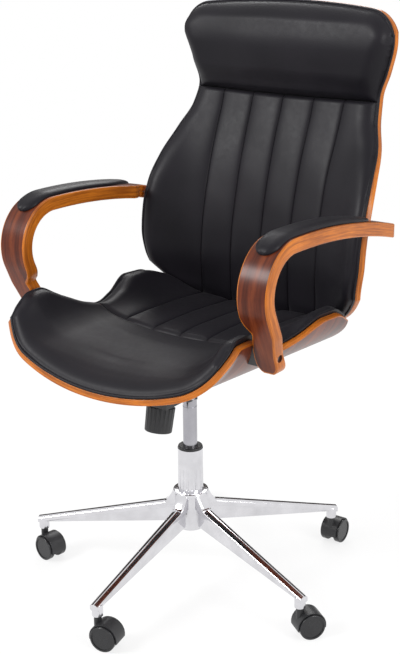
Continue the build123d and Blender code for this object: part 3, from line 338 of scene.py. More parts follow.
class Back:
    """The back's inner ply surface over its front view: x across and z up."""

    places = BACK_FOOT + np.array(BACK_HEIGHT_SHARES) * (BACK_HEAD - BACK_FOOT)

    def half(self, z):
        """Half-width of the ply at height z."""
        return BACK_HALF_WIDTH * smooth(self.places, BACK_WIDTH_SHARES, z)

    def low(self, x):
        """Lower outline of the ply."""
        x = np.abs(x)
        rise = BACK_LOW_CORNER[1] - BACK_LOW
        middle = BACK_LOW + rise * (x / BACK_LOW_CORNER[0]) ** 2
        side = BACK_LOW + rise * (BACK_LOW_SIDE[0] / BACK_LOW_CORNER[0]) ** 2
        turn = np.maximum(x - BACK_LOW_TURN_X, 0) / (BACK_LOW_SIDE[0] - BACK_LOW_TURN_X)
        return middle + (BACK_LOW_SIDE[1] - side) * turn**2

    def high(self, x):
        """Upper outline of the ply."""
        x = np.abs(x)
        middle = BACK_TOP + (BACK_TOP_CORNER[1] - BACK_TOP) * (x / BACK_TOP_CORNER[0]) ** 2
        out = np.clip((x - BACK_TOP_CORNER[0]) / BACK_TOP_ROUND_X, 0, BACK_TOP_ROUND_END)
        return middle - BACK_TOP_ROUND * (1 - np.sqrt(1 - out**2))

    def point(self, x, z):
        """Points of the ply's inner surface."""
        half = self.half(z)
        depth = BACK_WING * smooth(self.places, BACK_WING_SHARES, z)
        slope = 2 * np.arctan(depth / half)
        edge = BACK_FLAT_SLOPE_SHARE * np.arcsin(BACK_FLAT_SHARE * np.sin(slope))
        flat_x = BACK_FLAT_SHARE * half
        flat = flat_x / np.sin(edge)
        rest_x = half - flat_x
        rest_y = depth - flat * (1 - np.cos(edge))
        angle = 2 * np.arctan(rest_y / rest_x) - edge
        wing = rest_x / (np.sin(angle) - np.sin(edge))
        set_back = BACK_SET + BACK_LEAN * smooth(self.places, BACK_LEAN_SHARES, z)
        return np.stack([x, set_back - trough_height(x, flat, edge, wing), z], axis=-1)

    facing = np.array([0.0, -1.0, 0.0])


def eased(count):
    """Shares from 0 to 1, close together at both ends."""
    return (1 - np.cos(np.linspace(0, math.pi, count + 1))) / 2


def row_places(half, knots, counts):
    """Places across one row, from -half to half, with lines on the knots."""
    marks = [-half, *knots, half]
    places = [marks[0]]
    for a, b, count in zip(marks[:-1], marks[1:], counts):
        places.extend(a + (b - a) * eased(count)[1:])
    return np.array(places)


def cover(shape, low, high, inset, knots, counts, rows):
    """Grid of surface points and normals between two outlines: rows up or back, columns across."""
    xs, vs = [], []
    for share in rows:
        half = COVER_HALF
        for _ in range(COVER_TRIES):
            v = low(half) + (high(half) - low(half)) * share
            half = 0.5 * half + 0.5 * (shape.half(v) - inset)
        x = row_places(half, knots, counts)
        xs.append(x)
        vs.append(low(x) + (high(x) - low(x)) * share)
    points = shape.point(np.array(xs), np.array(vs))
    return points, facing_normals(points, shape.facing)


def facing_normals(points, facing):
    """Unit normals of a grid, on the side that a direction faces."""
    across = np.gradient(points, axis=1)
    along = np.gradient(points, axis=0)
    normals = np.cross(across, along)
    normals /= np.maximum(np.linalg.norm(normals, axis=-1, keepdims=True), 1e-9)
    sign = np.sign(np.sum(normals * facing, axis=-1, keepdims=True).mean())
    return normals * sign


def run_lengths(points, axis):
    """Distance along the grid from its first line, along an axis."""
    steps = np.linalg.norm(np.diff(points, axis=axis), axis=-1)
    total = np.cumsum(steps, axis=axis)
    start = np.zeros_like(np.take(total, [0], axis=axis))
    return np.concatenate([start, total], axis=axis)


def rim_of(rows, columns):
    """Indices round the outline of a grid."""
    rim = list(range(columns))
    rim += [i * columns + columns - 1 for i in range(1, rows)]
    rim += [(rows - 1) * columns + j for j in range(columns - 2, -1, -1)]
    rim += [i * columns for i in range(rows - 2, 0, -1)]
    return rim


def round_rings(upper, lower, radius):
    """Rings of points that round a rim over from its upper outline to its lower one."""
    depth = lower - upper
    down = depth / np.maximum(np.linalg.norm(depth, axis=1, keepdims=True), 1e-6)
    along = np.roll(upper, -1, axis=0) - np.roll(upper, 1, axis=0)
    out = np.cross(along, down)
    out /= np.maximum(np.linalg.norm(out, axis=1, keepdims=True), 1e-6)
    out *= np.sign(np.sum(out * (upper - upper.mean(axis=0))))
    rings = []
    turns = np.radians(RING_TURNS)
    for angle in turns:
        rings.append(upper + radius * (np.sin(angle) * out + (1 - np.cos(angle)) * down))
    for angle in turns[::-1]:
        rings.append(lower + radius * (np.sin(angle) * out - (1 - np.cos(angle)) * down))
    return rings


def closed_piece(name, points, faces):
    """An object with a closed mesh through points in millimetres, its faces turned outwards."""
    mesh = bpy.data.meshes.new(name)
    mesh.from_pydata([tuple(MM * c for c in point) for point in points], [], faces)
    mesh.update()
    corners = mesh.vertices
    if sum(corners[p.vertices[0]].co.dot(p.normal) * p.area for p in mesh.polygons) < 0:
        mesh.flip_normals()
    piece = bpy.data.objects.new(name, mesh)
    bpy.context.scene.collection.objects.link(piece)
    return piece


def closed_sheet(name, top, bottom, rim_slot=0, radius=0.0, grain=None):
    """A closed mesh from two grids that share their outline's order, its rim rounded by a radius.

    The grain attribute holds lengths across and along the grain and the depth, in metres."""
    rows, columns = top.shape[:2]
    upper, lower = top.reshape(-1, 3), bottom.reshape(-1, 3)
    shift = rows * columns
    rim = rim_of(rows, columns)
    around = len(rim)
    rings = round_rings(upper[rim], lower[rim], radius) if radius else []
    faces = []
    slots = []
    for i in range(rows - 1):
        for j in range(columns - 1):
            a = i * columns + j
            quad = (a, a + 1, a + columns + 1, a + columns)
            faces.append(quad)
            faces.append(tuple(shift + k for k in reversed(quad)))
            slots.extend((0, 0))
    loops = [rim]
    loops += [[2 * shift + k * around + j for j in range(around)] for k in range(len(rings))]
    loops += [[shift + j for j in rim]]
    for first, second in zip(loops[:-1], loops[1:]):
        for j in range(around):
            k = (j + 1) % around
            faces.append((first[k], first[j], second[j], second[k]))
            slots.append(rim_slot)
    piece = closed_piece(name, np.concatenate([upper, lower, *rings]), faces)
    mesh = piece.data
    mesh.polygons.foreach_set("material_index", slots)
    mesh.polygons.foreach_set("use_smooth", [True] * len(faces))
    if grain is not None:
        flat = np.concatenate([grain.reshape(-1, 2), np.zeros((shift, 1))], axis=1)
        thick = np.linalg.norm(lower - upper, axis=1)
        deep = np.concatenate([flat[:, :2], thick[:, None]], axis=1)
        sides = []
        for ring in rings:
            depth = np.linalg.norm(ring - upper[rim], axis=1)
            sides.append(np.concatenate([flat[rim, :2], depth[:, None]], axis=1))
        values = np.concatenate([flat, deep, *sides]) * MM
        attribute = mesh.attributes.new("grain", "FLOAT_VECTOR", "POINT")
        attribute.data.foreach_set("vector", values.ravel())
    return piece


def merged(piece, other, operation, solver="MANIFOLD"):
    """Gives a piece the mesh of its union with another, or of what the other leaves of it."""
    cut = piece.modifiers.new("merge", "BOOLEAN")
    cut.operation = operation
    cut.solver = solver
    cut.object = other
    bpy.context.view_layer.update()
    shape = piece.evaluated_get(bpy.context.evaluated_depsgraph_get())
    mesh = bpy.data.meshes.new_from_object(shape)
    piece.modifiers.remove(cut)
    piece.data = mesh
    bpy.data.objects.remove(other)


def finish_piece(piece, body, materials, slot, *nodes):
    """Gives a piece its materials, body and the CAD nodes it stands for; its slot argument is not
    used.
    """
    slots = [face.material_index for face in piece.data.polygons]
    piece.data.materials.clear()
    for material in materials:
        piece.data.materials.append(material)
    piece.data.polygons.foreach_set("material_index", slots)
    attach(piece, body)
    if nodes:
        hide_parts(*nodes)


def sharp_round(piece):
    """Small rounding on a piece's sharp edges."""
    rounding = piece.modifiers.new("rounding", "BEVEL")
    rounding.width = EDGE_ROUND * MM
    rounding.segments = 2
    rounding.limit_method = "ANGLE"
    rounding.angle_limit = EDGE_SHARP
    rounding.harden_normals = True


# Materials


class Graph:
    """The nodes of a material or world, of the few kinds that the looks are made of."""

    def __init__(self, owner):
        owner.use_nodes = True
        self.nodes, self.links = owner.node_tree.nodes, owner.node_tree.links
        self.nodes.clear()

    def add(self, kind, inputs=(), **settings):
        """A new node, each input of which takes a constant or another node's output."""
        node = self.nodes.new(kind)
        for name, value in settings.items():
            setattr(node, name, value)
        for name, value in dict(inputs).items():
            if isinstance(value, bpy.types.NodeSocket):
                self.links.new(value, node.inputs[name])
            else:
                node.inputs[name].default_value = value
        return node

    def space(self, scale=(1, 1, 1)):
        """Coordinates of the piece itself, scaled per axis."""
        place = self.add("ShaderNodeTexCoord").outputs["Object"]
        return self.add("ShaderNodeMapping", {"Vector": place, "Scale": scale}).outputs[0]

    def grain(self, scale=(1, 1, 1)):
        """Coordinates along a piece's own grain: across, along and into the wood."""
        place = self.add("ShaderNodeAttribute", attribute_name="grain").outputs["Vector"]
        return self.add("ShaderNodeMapping", {"Vector": place, "Scale": scale}).outputs[0]

    def noise(self, vector, scale, detail=4.0, roughness=0.5, distortion=0.0):
        inputs = {"Vector": vector, "Scale": scale, "Detail": detail,
                  "Roughness": roughness, "Distortion": distortion}
        return self.add("ShaderNodeTexNoise", inputs).outputs["Fac"]

    def ramp(self, value, *stops):
        """Colours over a value; a stop is its place and colour."""
        table = self.add("ShaderNodeValToRGB", {0: value})
        elements = table.color_ramp.elements
        while len(elements) < len(stops):
            elements.new(0.5)
        for element, (place, colour) in zip(elements, stops):
            element.position = place
            element.color = (*colour, 1.0)
        return table.outputs[0]

    def between(self, value, low, high):
        """A value from 0 to 1 stretched to run from low to high."""
        inputs = {"Value": value, "To Min": low, "To Max": high}
        return self.add("ShaderNodeMapRange", inputs).outputs[0]

    def maths(self, operation, first, second):
        return self.add("ShaderNodeMath", {0: first, 1: second}, operation=operation).outputs[0]

    def darkened(self, share, colour, by):
        """A colour multiplied by another, by a share."""
        inputs = {0: share, 6: colour, 7: by}
        mix = self.add("ShaderNodeMix", data_type="RGBA", blend_type="MULTIPLY", inputs=inputs)
        return mix.outputs[2]

    def bump(self, height, strength, distance):
        inputs = {"Height": height, "Strength": strength, "Distance": distance}
        return self.add("ShaderNodeBump", inputs).outputs[0]

    def surface(self, **inputs):
        """The material's shader, its inputs named with _ for a space."""
        inputs = {name.replace("_", " "): value for name, value in inputs.items()}
        shader = self.add("ShaderNodeBsdfPrincipled", inputs)
        self.add("ShaderNodeOutputMaterial", {0: shader.outputs[0]})


def new_material(name):
    material = bpy.data.materials.new(name)
    return material, Graph(material)


def leather_material():
    """Black leather: pebbled grain, faint creases and an uneven soft sheen."""
    material, graph = new_material("black_leather")
    space = graph.space()
    cells = graph.add(
        "ShaderNodeTexVoronoi", {"Vector": space, "Scale": 620.0}, feature="SMOOTH_F1"
    )
    creases = graph.noise(space, 90.0, detail=6.0, distortion=0.6)
    patches = graph.noise(space, 9.0, detail=2.0)
    pebbles = graph.maths("ADD", cells.outputs["Distance"], creases)
    dark, light = (0.0068, 0.0060, 0.0086), (0.0105, 0.0092, 0.0125)
    graph.surface(
        Base_Color=graph.ramp(patches, (0.3, dark), (0.7, light)),
        Roughness=graph.between(creases, 0.36, 0.50),
        Normal=graph.bump(pebbles, strength=0.13, distance=0.0005),
        Specular_IOR_Level=0.17,
        Sheen_Weight=0.02,
        Sheen_Roughness=0.4,
    )
    return material


def veneer_material(name, scale):
    """Lacquered walnut veneer: broad figure, fine pores and long darker lines with the grain."""
    material, graph = new_material(name)
    space = graph.grain(scale)
    figure = graph.noise(space, 30.0, distortion=0.9)
    lines = graph.noise(space, 150.0, detail=3.0, roughness=0.55, distortion=0.5)
    pores = graph.noise(space, 900.0, detail=2.0, roughness=0.6)
    lined = graph.ramp(lines, (0.36, (0.60, 0.53, 0.50)), (0.58, WHITE))
    pored = graph.ramp(pores, (0.36, (0.72, 0.68, 0.66)), (0.50, WHITE))
    colour = graph.ramp(figure, *zip((0.32, 0.50, 0.68), WALNUT))
    colour = graph.darkened(0.8, colour, lined)
    colour = graph.darkened(0.7, colour, pored)
    graph.surface(
        Base_Color=colour,
        Roughness=graph.between(lines, 0.24, 0.36),
        Normal=graph.bump(pores, strength=0.05, distance=0.0003),
        Specular_IOR_Level=0.22,
        Coat_Weight=0.06,
        Coat_Roughness=0.34,
    )
    return material


def ply_edge_material():
    """Cut edge of ply: golden stain, thin layers, broad tones and streaks along the edge."""
    material, graph = new_material("ply_edge")
    layers = graph.noise(graph.grain((0.03, 0.03, 1.0)), 330.0, detail=2.0)
    streaks = graph.noise(graph.grain((0.06, 0.06, 1.0)), 900.0, detail=3.0, roughness=0.6)
    tones = graph.noise(graph.grain(), 16.0, detail=3.0)
    toned = graph.ramp(tones, (0.3, (0.76, 0.70, 0.66)), (0.7, WHITE))
    streaked = graph.ramp(streaks, (0.36, (0.66, 0.58, 0.52)), (0.52, WHITE))
    colour = graph.ramp(layers, (0.34, (0.33, 0.090, 0.009)), (0.62, (0.60, 0.180, 0.016)))
    colour = graph.darkened(1.0, colour, toned)
    colour = graph.darkened(0.55, colour, streaked)
    graph.surface(
        Base_Color=colour,
        Roughness=graph.between(streaks, 0.26, 0.38),
        Normal=graph.bump(streaks, strength=0.04, distance=0.0003),
        Specular_IOR_Level=0.26,
        Coat_Weight=0.12,
        Coat_Roughness=0.18,
    )
    return material


def chrome_material(name, dark, light, polish):
    """Chrome plate with faint haze and small changes of polish."""
    material, graph = new_material(name)
    space = graph.space()
    haze = graph.noise(space, 30.0)
    graph.surface(
        Base_Color=graph.ramp(haze, (0.3, dark), (0.7, light)),
        Roughness=graph.between(haze, polish, polish + 0.05),
        Normal=graph.bump(graph.noise(space, 260.0), strength=0.01, distance=0.0003),
        Metallic=1.0,
    )
    return material


def plastic_material(name, colour, roughness, grain=900.0):
    """Moulded black plastic with a fine spark-eroded texture."""
    material, graph = new_material(name)
    space = graph.space()
    cloud = graph.noise(space, 40.0, detail=3.0)
    darker = tuple(0.75 * c for c in colour)
    graph.surface(
        Base_Color=graph.ramp(cloud, (0.3, darker), (0.7, colour)),
        Roughness=graph.between(cloud, roughness, roughness + 0.1),
        Normal=graph.bump(graph.noise(space, grain, detail=2.0), strength=0.12, distance=0.0002),
    )
    return material


def steel_material():
    """Turned steel with fine lathe marks."""
    material, graph = new_material("turned_steel")
    marks = graph.noise(graph.space((1, 1, 14)), 120.0, detail=3.0)
    graph.surface(
        Base_Color=graph.ramp(marks, (0.3, (0.40, 0.41, 0.43)), (0.7, (0.56, 0.57, 0.59))),
        Roughness=graph.between(marks, 0.26, 0.40),
        Normal=graph.bump(marks, strength=0.05, distance=0.0002),
        Metallic=1.0,
    )
    return material


WHITE = (1.0, 1.0, 1.0)
WALNUT = ((0.038, 0.0068, 0.0025), (0.112, 0.0205, 0.0062), (0.205, 0.0470, 0.0125))
LEATHER = leather_material()
VENEER = veneer_material("walnut_veneer", (1.0, 0.07, 1.0))
VENEER_ACROSS = veneer_material("walnut_across", (0.07, 1.0, 1.0))
PLY_EDGE = ply_edge_material()
CHROME = chrome_material("polished_chrome", (0.63, 0.625, 0.65), (0.74, 0.735, 0.76), 0.08)
SATIN_CHROME = chrome_material("satin_chrome", (0.36, 0.355, 0.385), (0.45, 0.445, 0.475), 0.16)
BLACK_PLASTIC = plastic_material("black_plastic", (0.018, 0.018, 0.020), 0.38)
BLACK_TREAD = plastic_material("black_tread", (0.014, 0.014, 0.016), 0.22, grain=500.0)
BLACK_METAL = plastic_material("black_powder_coat", (0.022, 0.022, 0.024), 0.42, grain=1400.0)
BLACK_RUBBER = plastic_material("black_rubber", (0.020, 0.020, 0.020), 0.6, grain=700.0)
STEEL = steel_material()

RECORD_FINISH = {
    "veneer": VENEER,
    "leather": LEATHER,
    "chrome": CHROME,
    "steel": STEEL,
    "black_metal": BLACK_METAL,
    "black_plastic": BLACK_PLASTIC,
    "tread": BLACK_TREAD,
    "bush_rubber": BLACK_RUBBER,
}

# Every CAD node takes the material of its record slot, and the gas cylinder a duller chrome
finishes = {
    row["node"]: RECORD_FINISH[row["material_slot"]] for row in frame["record"]["subparts"]
}
finishes["gas_cylinder"] = SATIN_CHROME
for node, piece in frame["nodes"].items():
    piece.data.materials.clear()
    piece.data.materials.append(finishes[node])

for node in ("tilt_housing", "seat_plate", "lever_grip"):
    sharp_round(frame["nodes"][node])

# Ply shells

SEAT = Seat()
BACK = Back()


def shell(name, shape, face_material, node):
    """One moulded ply shell: an inner and an outer veneer face and a rounded cut edge."""
    points, normals = cover(
        shape, lambda x: shape.low(x) + SHELL_ROUND, lambda x: shape.high(x) - SHELL_ROUND,
        SHELL_ROUND, (0.0,), SHELL_COLUMNS, eased(SHELL_ROWS),
    )
    grain = np.stack([run_lengths(points, 1), run_lengths(points, 0)], axis=-1)
    piece = closed_sheet(name, points, points - PLY * normals, 1, SHELL_ROUND, grain)
    finish_piece(piece, "seat", (face_material, PLY_EDGE), "veneer", node)


shell("seat_ply", SEAT, VENEER_ACROSS, "seat_shell")
shell("back_ply", BACK, VENEER, "back_shell")

# Armrests


def strip_lines():
    """Outer and inner face lines of the strip in side view, from the rear end to the foot."""
    top_y = ARM_TURN[1] + ARM_TURN_RADIUS - ARM_TOP_RADIUS
    rear = np.linspace(ARM_REAR - ARM_ROUND, ARM_NOTCH_LINES_FROM, ARM_LINES)
    rear = sorted({*rear, *ARM_NOTCH_STEPS}, reverse=True)
    over = [*rear, *np.linspace(ARM_NOTCH_LINES_FROM, ARM_TURN[0], ARM_LINES)[1:]]
    outer, inner = (
        [(y, top_y + math.sqrt(radius**2 - (y - ARM_TURN[0]) ** 2)) for y in over]
        for radius in (ARM_TOP_RADIUS, ARM_TOP_RADIUS - ARM_THICK)
    )
    for angle in np.linspace(math.pi / 2, math.pi + ARM_LEG_ANGLE, ARM_TURN_LINES)[1:]:
        way = (math.cos(angle), math.sin(angle))
        outer.append(tuple(c + ARM_TURN_RADIUS * w for c, w in zip(ARM_TURN, way)))
        inner.append(tuple(c + (ARM_TURN_RADIUS - ARM_THICK) * w for c, w in zip(ARM_TURN, way)))
    down = (math.sin(ARM_LEG_ANGLE), -math.cos(ARM_LEG_ANGLE))
    start = (outer[-1], inner[-1])
    reach = [(LEG_FOOT + ARM_ROUND - point[1]) / down[1] for point in start]
    for share in np.sin(np.linspace(0, math.pi / 2, ARM_LINES))[1:]:
        outer.append(tuple(p + share * reach[0] * d for p, d in zip(start[0], down)))
        inner.append(tuple(p + share * reach[1] * d for p, d in zip(start[1], down)))
    return np.array(outer), np.array(inner)


def strip_sides(line):
    """Inner and outer x of the strip along a face line: notched behind, tapered to a round foot."""
    y, z = line[:, 0], line[:, 1]
    low = ARM_INNER + np.where(y > 0, np.interp(y, ARM_NOTCH_Y, ARM_NOTCH_X), 0)
    low = np.where(y > 0, low, ARM_INNER + smooth(LEG_INNER_Z, LEG_INNER_X, z))
    high = ARM_INNER + np.where(y > 0, ARM_WIDTH, smooth(LEG_OUTER_Z, LEG_OUTER_X, z))
    drop = np.clip((LEG_FOOT + LEG_FOOT_HALF - z) / LEG_FOOT_HALF, 0, 1)
    foot = LEG_FOOT_HALF * (1 - drop**LEG_FOOT_POWER) ** (1 / LEG_FOOT_POWER)
    middle, half = (low + high) / 2, (high - low) / 2
    narrow = np.where(drop > 0, foot, half)
    half = np.maximum(np.minimum(narrow, half) - ARM_ROUND, LEG_LEAST_HALF)
    return middle - half, middle + half


def strip_grid(line, side):
    """Points of one face of the strip, from a face line and its sides."""
    low, high = strip_sides(line)
    shares = np.linspace(0, 1, ARM_COLUMNS)
    x = low[:, None] + (high - low)[:, None] * shares
    y = np.repeat(line[:, :1], len(shares), axis=1)
    z = np.repeat(line[:, 1:], len(shares), axis=1)
    return np.stack([side * x, y, z], axis=-1)


def keep_grain(before, after):
    """Gives each point of a cut mesh the grain value of the nearest point before the cut."""
    tree = KDTree(len(before.vertices))
    for vertex in before.vertices:
        tree.insert(vertex.co, vertex.index)
    tree.balance()
    old, new = before.attributes["grain"].data, after.attributes["grain"].data
    for vertex in after.vertices:
        new[vertex.index].vector = old[tree.find(vertex.co)[1]].vector


def recess(piece, place, way):
    """Sinks the bolt's round recess into a piece and keeps the piece's grain."""
    ring = [
        (BOLT_RECESS_RADIUS * math.cos(a), BOLT_RECESS_RADIUS * math.sin(a))
        for a in np.linspace(0, 2 * math.pi, BOLT_RECESS_SIDES + 1)[:-1]
    ]
    loops = [
        [(x, place[1] + a, place[2] + b) for a, b in ring]
        for x in (place[0], place[0] + way * BOLT_RECESS_REACH)
    ]
    before = piece.data
    merged(piece, solid_from("cutter", loops), "DIFFERENCE", "EXACT")
    keep_grain(before, piece.data)


def armrest(name, side):
    """One bent strip with its grain along the bend and its bolt recess in the foot."""
    outer, inner = strip_lines()
    top, bottom = strip_grid(outer, side), strip_grid(inner, side)
    grain = np.stack([side * top[..., 0], run_lengths(top, 0)], axis=-1)
    piece = closed_sheet(f"{name}_arm_strip", top, bottom, 1, ARM_ROUND, grain)
    piece.data.materials.append(VENEER)
    piece.data.materials.append(PLY_EDGE)
    recess(piece, (side * BOLT_PLACE[0], *BOLT_PLACE[1:]), side)
    finish_piece(piece, "seat", (VENEER, PLY_EDGE), "veneer", f"{name}_armrest")


def pad_sides(y):
    """Inner and outer x of an arm pad over its plan."""
    inner, outer = ARM_INNER + PAD_SIDE, ARM_INNER + ARM_WIDTH - PAD_SIDE
    middle, half = (inner + outer) / 2, (outer - inner) / 2
    nose = np.sqrt(np.maximum(1 - np.clip((PAD_FRONT + PAD_NOSE - y) / PAD_NOSE, 0, 1) ** 2, 0))
    t = np.clip((y - PAD_WAIST) / (PAD_TIP - PAD_WAIST), 0, 1)
    ease = t**2 * (3 - 2 * t)
    bend = PAD_TIP_SLOPE * (PAD_TIP - PAD_WAIST) * t**2 * (t - 1)
    tip = ARM_INNER + PAD_TIP_X
    low = middle - half * nose + (tip - inner) * ease + bend
    high = middle + half * nose + (tip - outer) * ease - bend
    return low, high


def arm_pad(name, side):
    """Soft cap on the strip: round nose, domed top and a long point behind."""
    y = PAD_FRONT + PAD_ENDS[0] + (PAD_TIP - PAD_FRONT - PAD_ENDS[1]) * eased(PAD_ROWS)
    top_y = ARM_TURN[1] + ARM_TURN_RADIUS - ARM_TOP_RADIUS
    on_turn = y < ARM_TURN[0]
    radius = np.where(on_turn, ARM_TURN_RADIUS, ARM_TOP_RADIUS)
    centre = np.where(on_turn, ARM_TURN[1], top_y)
    z = centre + np.sqrt(radius**2 - (y - ARM_TURN[0]) ** 2)
    low, high = pad_sides(y)
    x = low[:, None] + (high - low)[:, None] * eased(PAD_COLUMNS)
    out = np.stack([np.zeros_like(y), (y - ARM_TURN[0]) / radius, (z - centre) / radius], axis=-1)
    over = (np.repeat(v[:, None], PAD_COLUMNS + 1, 1) for v in (y, z))
    points = np.stack([side * x, *over], axis=-1)
    run = run_lengths(points, 0)
    edge = near_edge(x - low[:, None], high[:, None] - x, run, run[-1:] - run)
    rise = PAD_FOOT + (PAD_HIGH - PAD_FOOT) * rolled(edge / PAD_ROLL, PAD_ROLL_POWER)
    top = points + out[:, None] * rise[..., None]
    piece = closed_sheet(f"{name}_arm_cap", top, points + out[:, None] * (0.5 * PAD_FOOT))
    finish_piece(piece, "seat", (LEATHER,), "black_plastic", f"{name}_arm_pad")


# Star base


def along_leg(pair, reach):
    """A value that changes evenly from the leg's root to its tip."""
    return pair[0] + (pair[1] - pair[0]) * (reach - LEG_ROOT) / (BASE_REACH - LEG_ROOT)


def rounded(corners, rounds):
    """Closed outline through corners, each rounded by its own radius."""
    corners = np.array(corners, float)
    outline = []
    sides = zip(np.roll(corners, 1, 0), corners, np.roll(corners, -1, 0), rounds)
    for before, corner, after, radius in sides:
        if not radius:
            outline.append(corner)
            continue
        first = (before - corner) / np.linalg.norm(before - corner)
        second = (after - corner) / np.linalg.norm(after - corner)
        half = math.acos(np.clip(first @ second, -1, 1)) / 2
        middle = (first + second) / np.linalg.norm(first + second)
        centre = corner + middle * radius / math.sin(half)
        start = corner + first * radius / math.tan(half) - centre
        stop = corner + second * radius / math.tan(half) - centre
        whole = math.pi - 2 * half
        for share in np.linspace(0, 1, ROUND_STEPS + 1):
            from_start, from_stop = math.sin((1 - share) * whole), math.sin(share * whole)
            outline.append(centre + (from_start * start + from_stop * stop) / math.sin(whole))
    return np.array(outline)


def solid_from(name, loops):
    """A closed mesh through loops of equal length, with a cap on each end."""
    count, size = len(loops), len(loops[0])
    faces = [tuple(reversed(range(size))), tuple(range((count - 1) * size, count * size))]
    for a in range(0, (count - 1) * size, size):
        for j in range(size):
            k = (j + 1) % size
            faces.append((a + j, a + k, a + size + k, a + size + j))
    return closed_piece(name, [point for loop in loops for point in loop], faces)


def turned(name, outline, centre=(0.0, 0.0), sides=72):
    """A solid turned from an outline of radii and heights that starts and ends on the axis."""
    ring = [(math.cos(a), math.sin(a)) for a in np.linspace(0, 2 * math.pi, sides + 1)[:-1]]
    return solid_from(name, [
        [(centre[0] + r * c, centre[1] + r * s, z) for c, s in ring] for r, z in outline[1:-1]
    ])


def leg_outline(reach, hollow):
    """Outline across a leg: crowned bar, narrower web and the channel between its walls."""
    top, under = along_leg(LEG_TOP, reach), along_leg(LEG_UNDER, reach)
    half, bar = along_leg(LEG_WIDTH, reach) / 2, along_leg(LEG_BAR, reach)
    side = top - LEG_CROWN
    under = min(under, top - bar - LEG_WEB_LEAST)
    roof = top - LEG_ROOF if hollow else under + LEG_SOLID_ROOF
    web, inner = LEG_WEB_HALF, LEG_WEB_HALF - LEG_WALL
    arc = [
        (half * share, top - LEG_CROWN * share**2)
        for share in np.linspace(LEG_CROWN_SHARE, -LEG_CROWN_SHARE, LEG_CROWN_LINES)
    ]
    corners = [
        (half, side), *arc, (-half, side), (-half, top - bar), (-web, top - bar), (-web, under),
        (-inner, under), (-inner, roof), (inner, roof), (inner, under),
        (web, under), (web, top - bar), (half, top - bar),
    ]
    below = (LEG_BAR_ROUND, LEG_NECK_ROUND, LEG_UNDER_ROUND)
    rounds = [LEG_EDGE_ROUND, *(0.0,) * len(arc), LEG_EDGE_ROUND, *below, *(0.0,) * 4, *below[::-1]]
    return rounded(corners, rounds)


def shoulder_outline(reach):
    """Outline across a shoulder, which swells from the leg's crown to the hub's lip."""
    share = (reach - LEG_ROOT) / (SHOULDER_REACH - LEG_ROOT)
    crown = along_leg(LEG_TOP, reach)
    fall = np.clip((share - SHOULDER_LEVEL) / (1 - SHOULDER_LEVEL), 0, 1)
    least = crown + SHOULDER_OVER
    top = least + (SHOULDER_TOP - crown - SHOULDER_OVER) * (1 - fall) ** SHOULDER_POWER
    half = SHOULDER_HALF[0] + (SHOULDER_HALF[1] - SHOULDER_HALF[0]) * share
    edge, foot = top - SHOULDER_EDGE, crown - SHOULDER_DEEP
    corners = [
        (half, edge), (half / 2, top), (-half / 2, top),
        (-half, edge), (-half, foot), (half, foot),
    ]
    return rounded(corners, SHOULDER_ROUNDS)


def placed(outline, turn, reach):
    """Points of an outline across a leg, at a reach along it."""
    c, s = math.cos(turn), math.sin(turn)
    return [(reach * c - u * s, reach * s + u * c, z) for u, z in outline]


def base_casting():
    """The whole base in one mesh, with its stem and column bores."""
    casting = turned("base_casting", rounded(HUB, HUB_ROUNDS), sides=HUB_SIDES)
    first, last = LEG_HOLLOW
    hollow = np.linspace(first + LEG_HOLLOW_START, last - LEG_HOLLOW_START, LEG_HOLLOW_LINES)
    lines = [(LEG_ROOT, False), (first, False), *((reach, True) for reach in hollow)]
    lines += [(last, False), (LEG_END, False)]
    swell = np.linspace(LEG_ROOT + SHOULDER_START, SHOULDER_REACH, SHOULDER_LINES)
    for k in range(BASE_LEGS):
        turn = math.radians(BASE_TURN + 360.0 / BASE_LEGS * k)
        tip = (BASE_REACH * math.cos(turn), BASE_REACH * math.sin(turn))
        leg = [placed(leg_outline(reach, is_hollow), turn, reach) for reach, is_hollow in lines]
        shoulder = [placed(shoulder_outline(reach), turn, reach) for reach in swell]
        merged(casting, turned("socket", rounded(SOCKET, SOCKET_ROUNDS), tip), "UNION")
        merged(casting, solid_from("leg", leg), "UNION")
        merged(casting, solid_from("shoulder", shoulder), "UNION")
        merged(casting, turned("bore", STEM_BORE, tip), "DIFFERENCE")
    merged(casting, turned("column_bore", COLUMN_BORE, sides=HUB_SIDES), "DIFFERENCE")
    faces = casting.data.polygons
    faces.foreach_set("use_smooth", [True] * len(faces))
    casting.data.set_sharp_from_angle(angle=BASE_SHARP)
    finish_piece(casting, "base", (CHROME,), "chrome", "star_base")


base_casting()

# Cushions


def rolled(share, power):
    """Quarter roll from 0 to 1 over a share of 0 to 1."""
    share = np.clip(share, 0, 1)
    return (1 - (1 - share) ** power) ** (1 / power)


def near_edge(*distances):
    """Distance to the nearest edge, rounded in the corners."""
    total = sum((np.maximum(d, 0) + 1e-3) ** -CORNER_POWER for d in distances)
    return total ** (-1 / CORNER_POWER)


def edge_height(distance, full, roll):
    """Height of a cushion over the ply: a welt round the edge, a groove, then a full roll."""
    welt = 2 * WELT
    on_welt = WELT + np.sqrt(np.maximum(WELT**2 - (distance - WELT) ** 2, 0))
    beyond = WELT_GROOVE + (full - WELT_GROOVE) * rolled((distance - welt) / roll, ROLL_POWER)
    on_welt = np.maximum(on_welt, WELT_GROOVE * np.minimum(distance / WELT, 1))
    return np.where(distance < welt, on_welt, beyond)


def channel_dip(x, depth):
    """Depth of the sewn channels at x, with flat tops between them."""
    dip = np.zeros_like(x)
    for channel in CHANNELS:
        share = np.abs(x - channel) / (CHANNEL_PITCH / 2)
        dip = np.maximum(dip, depth * (1 - rolled(share, CHANNEL_POWER)))
    return dip


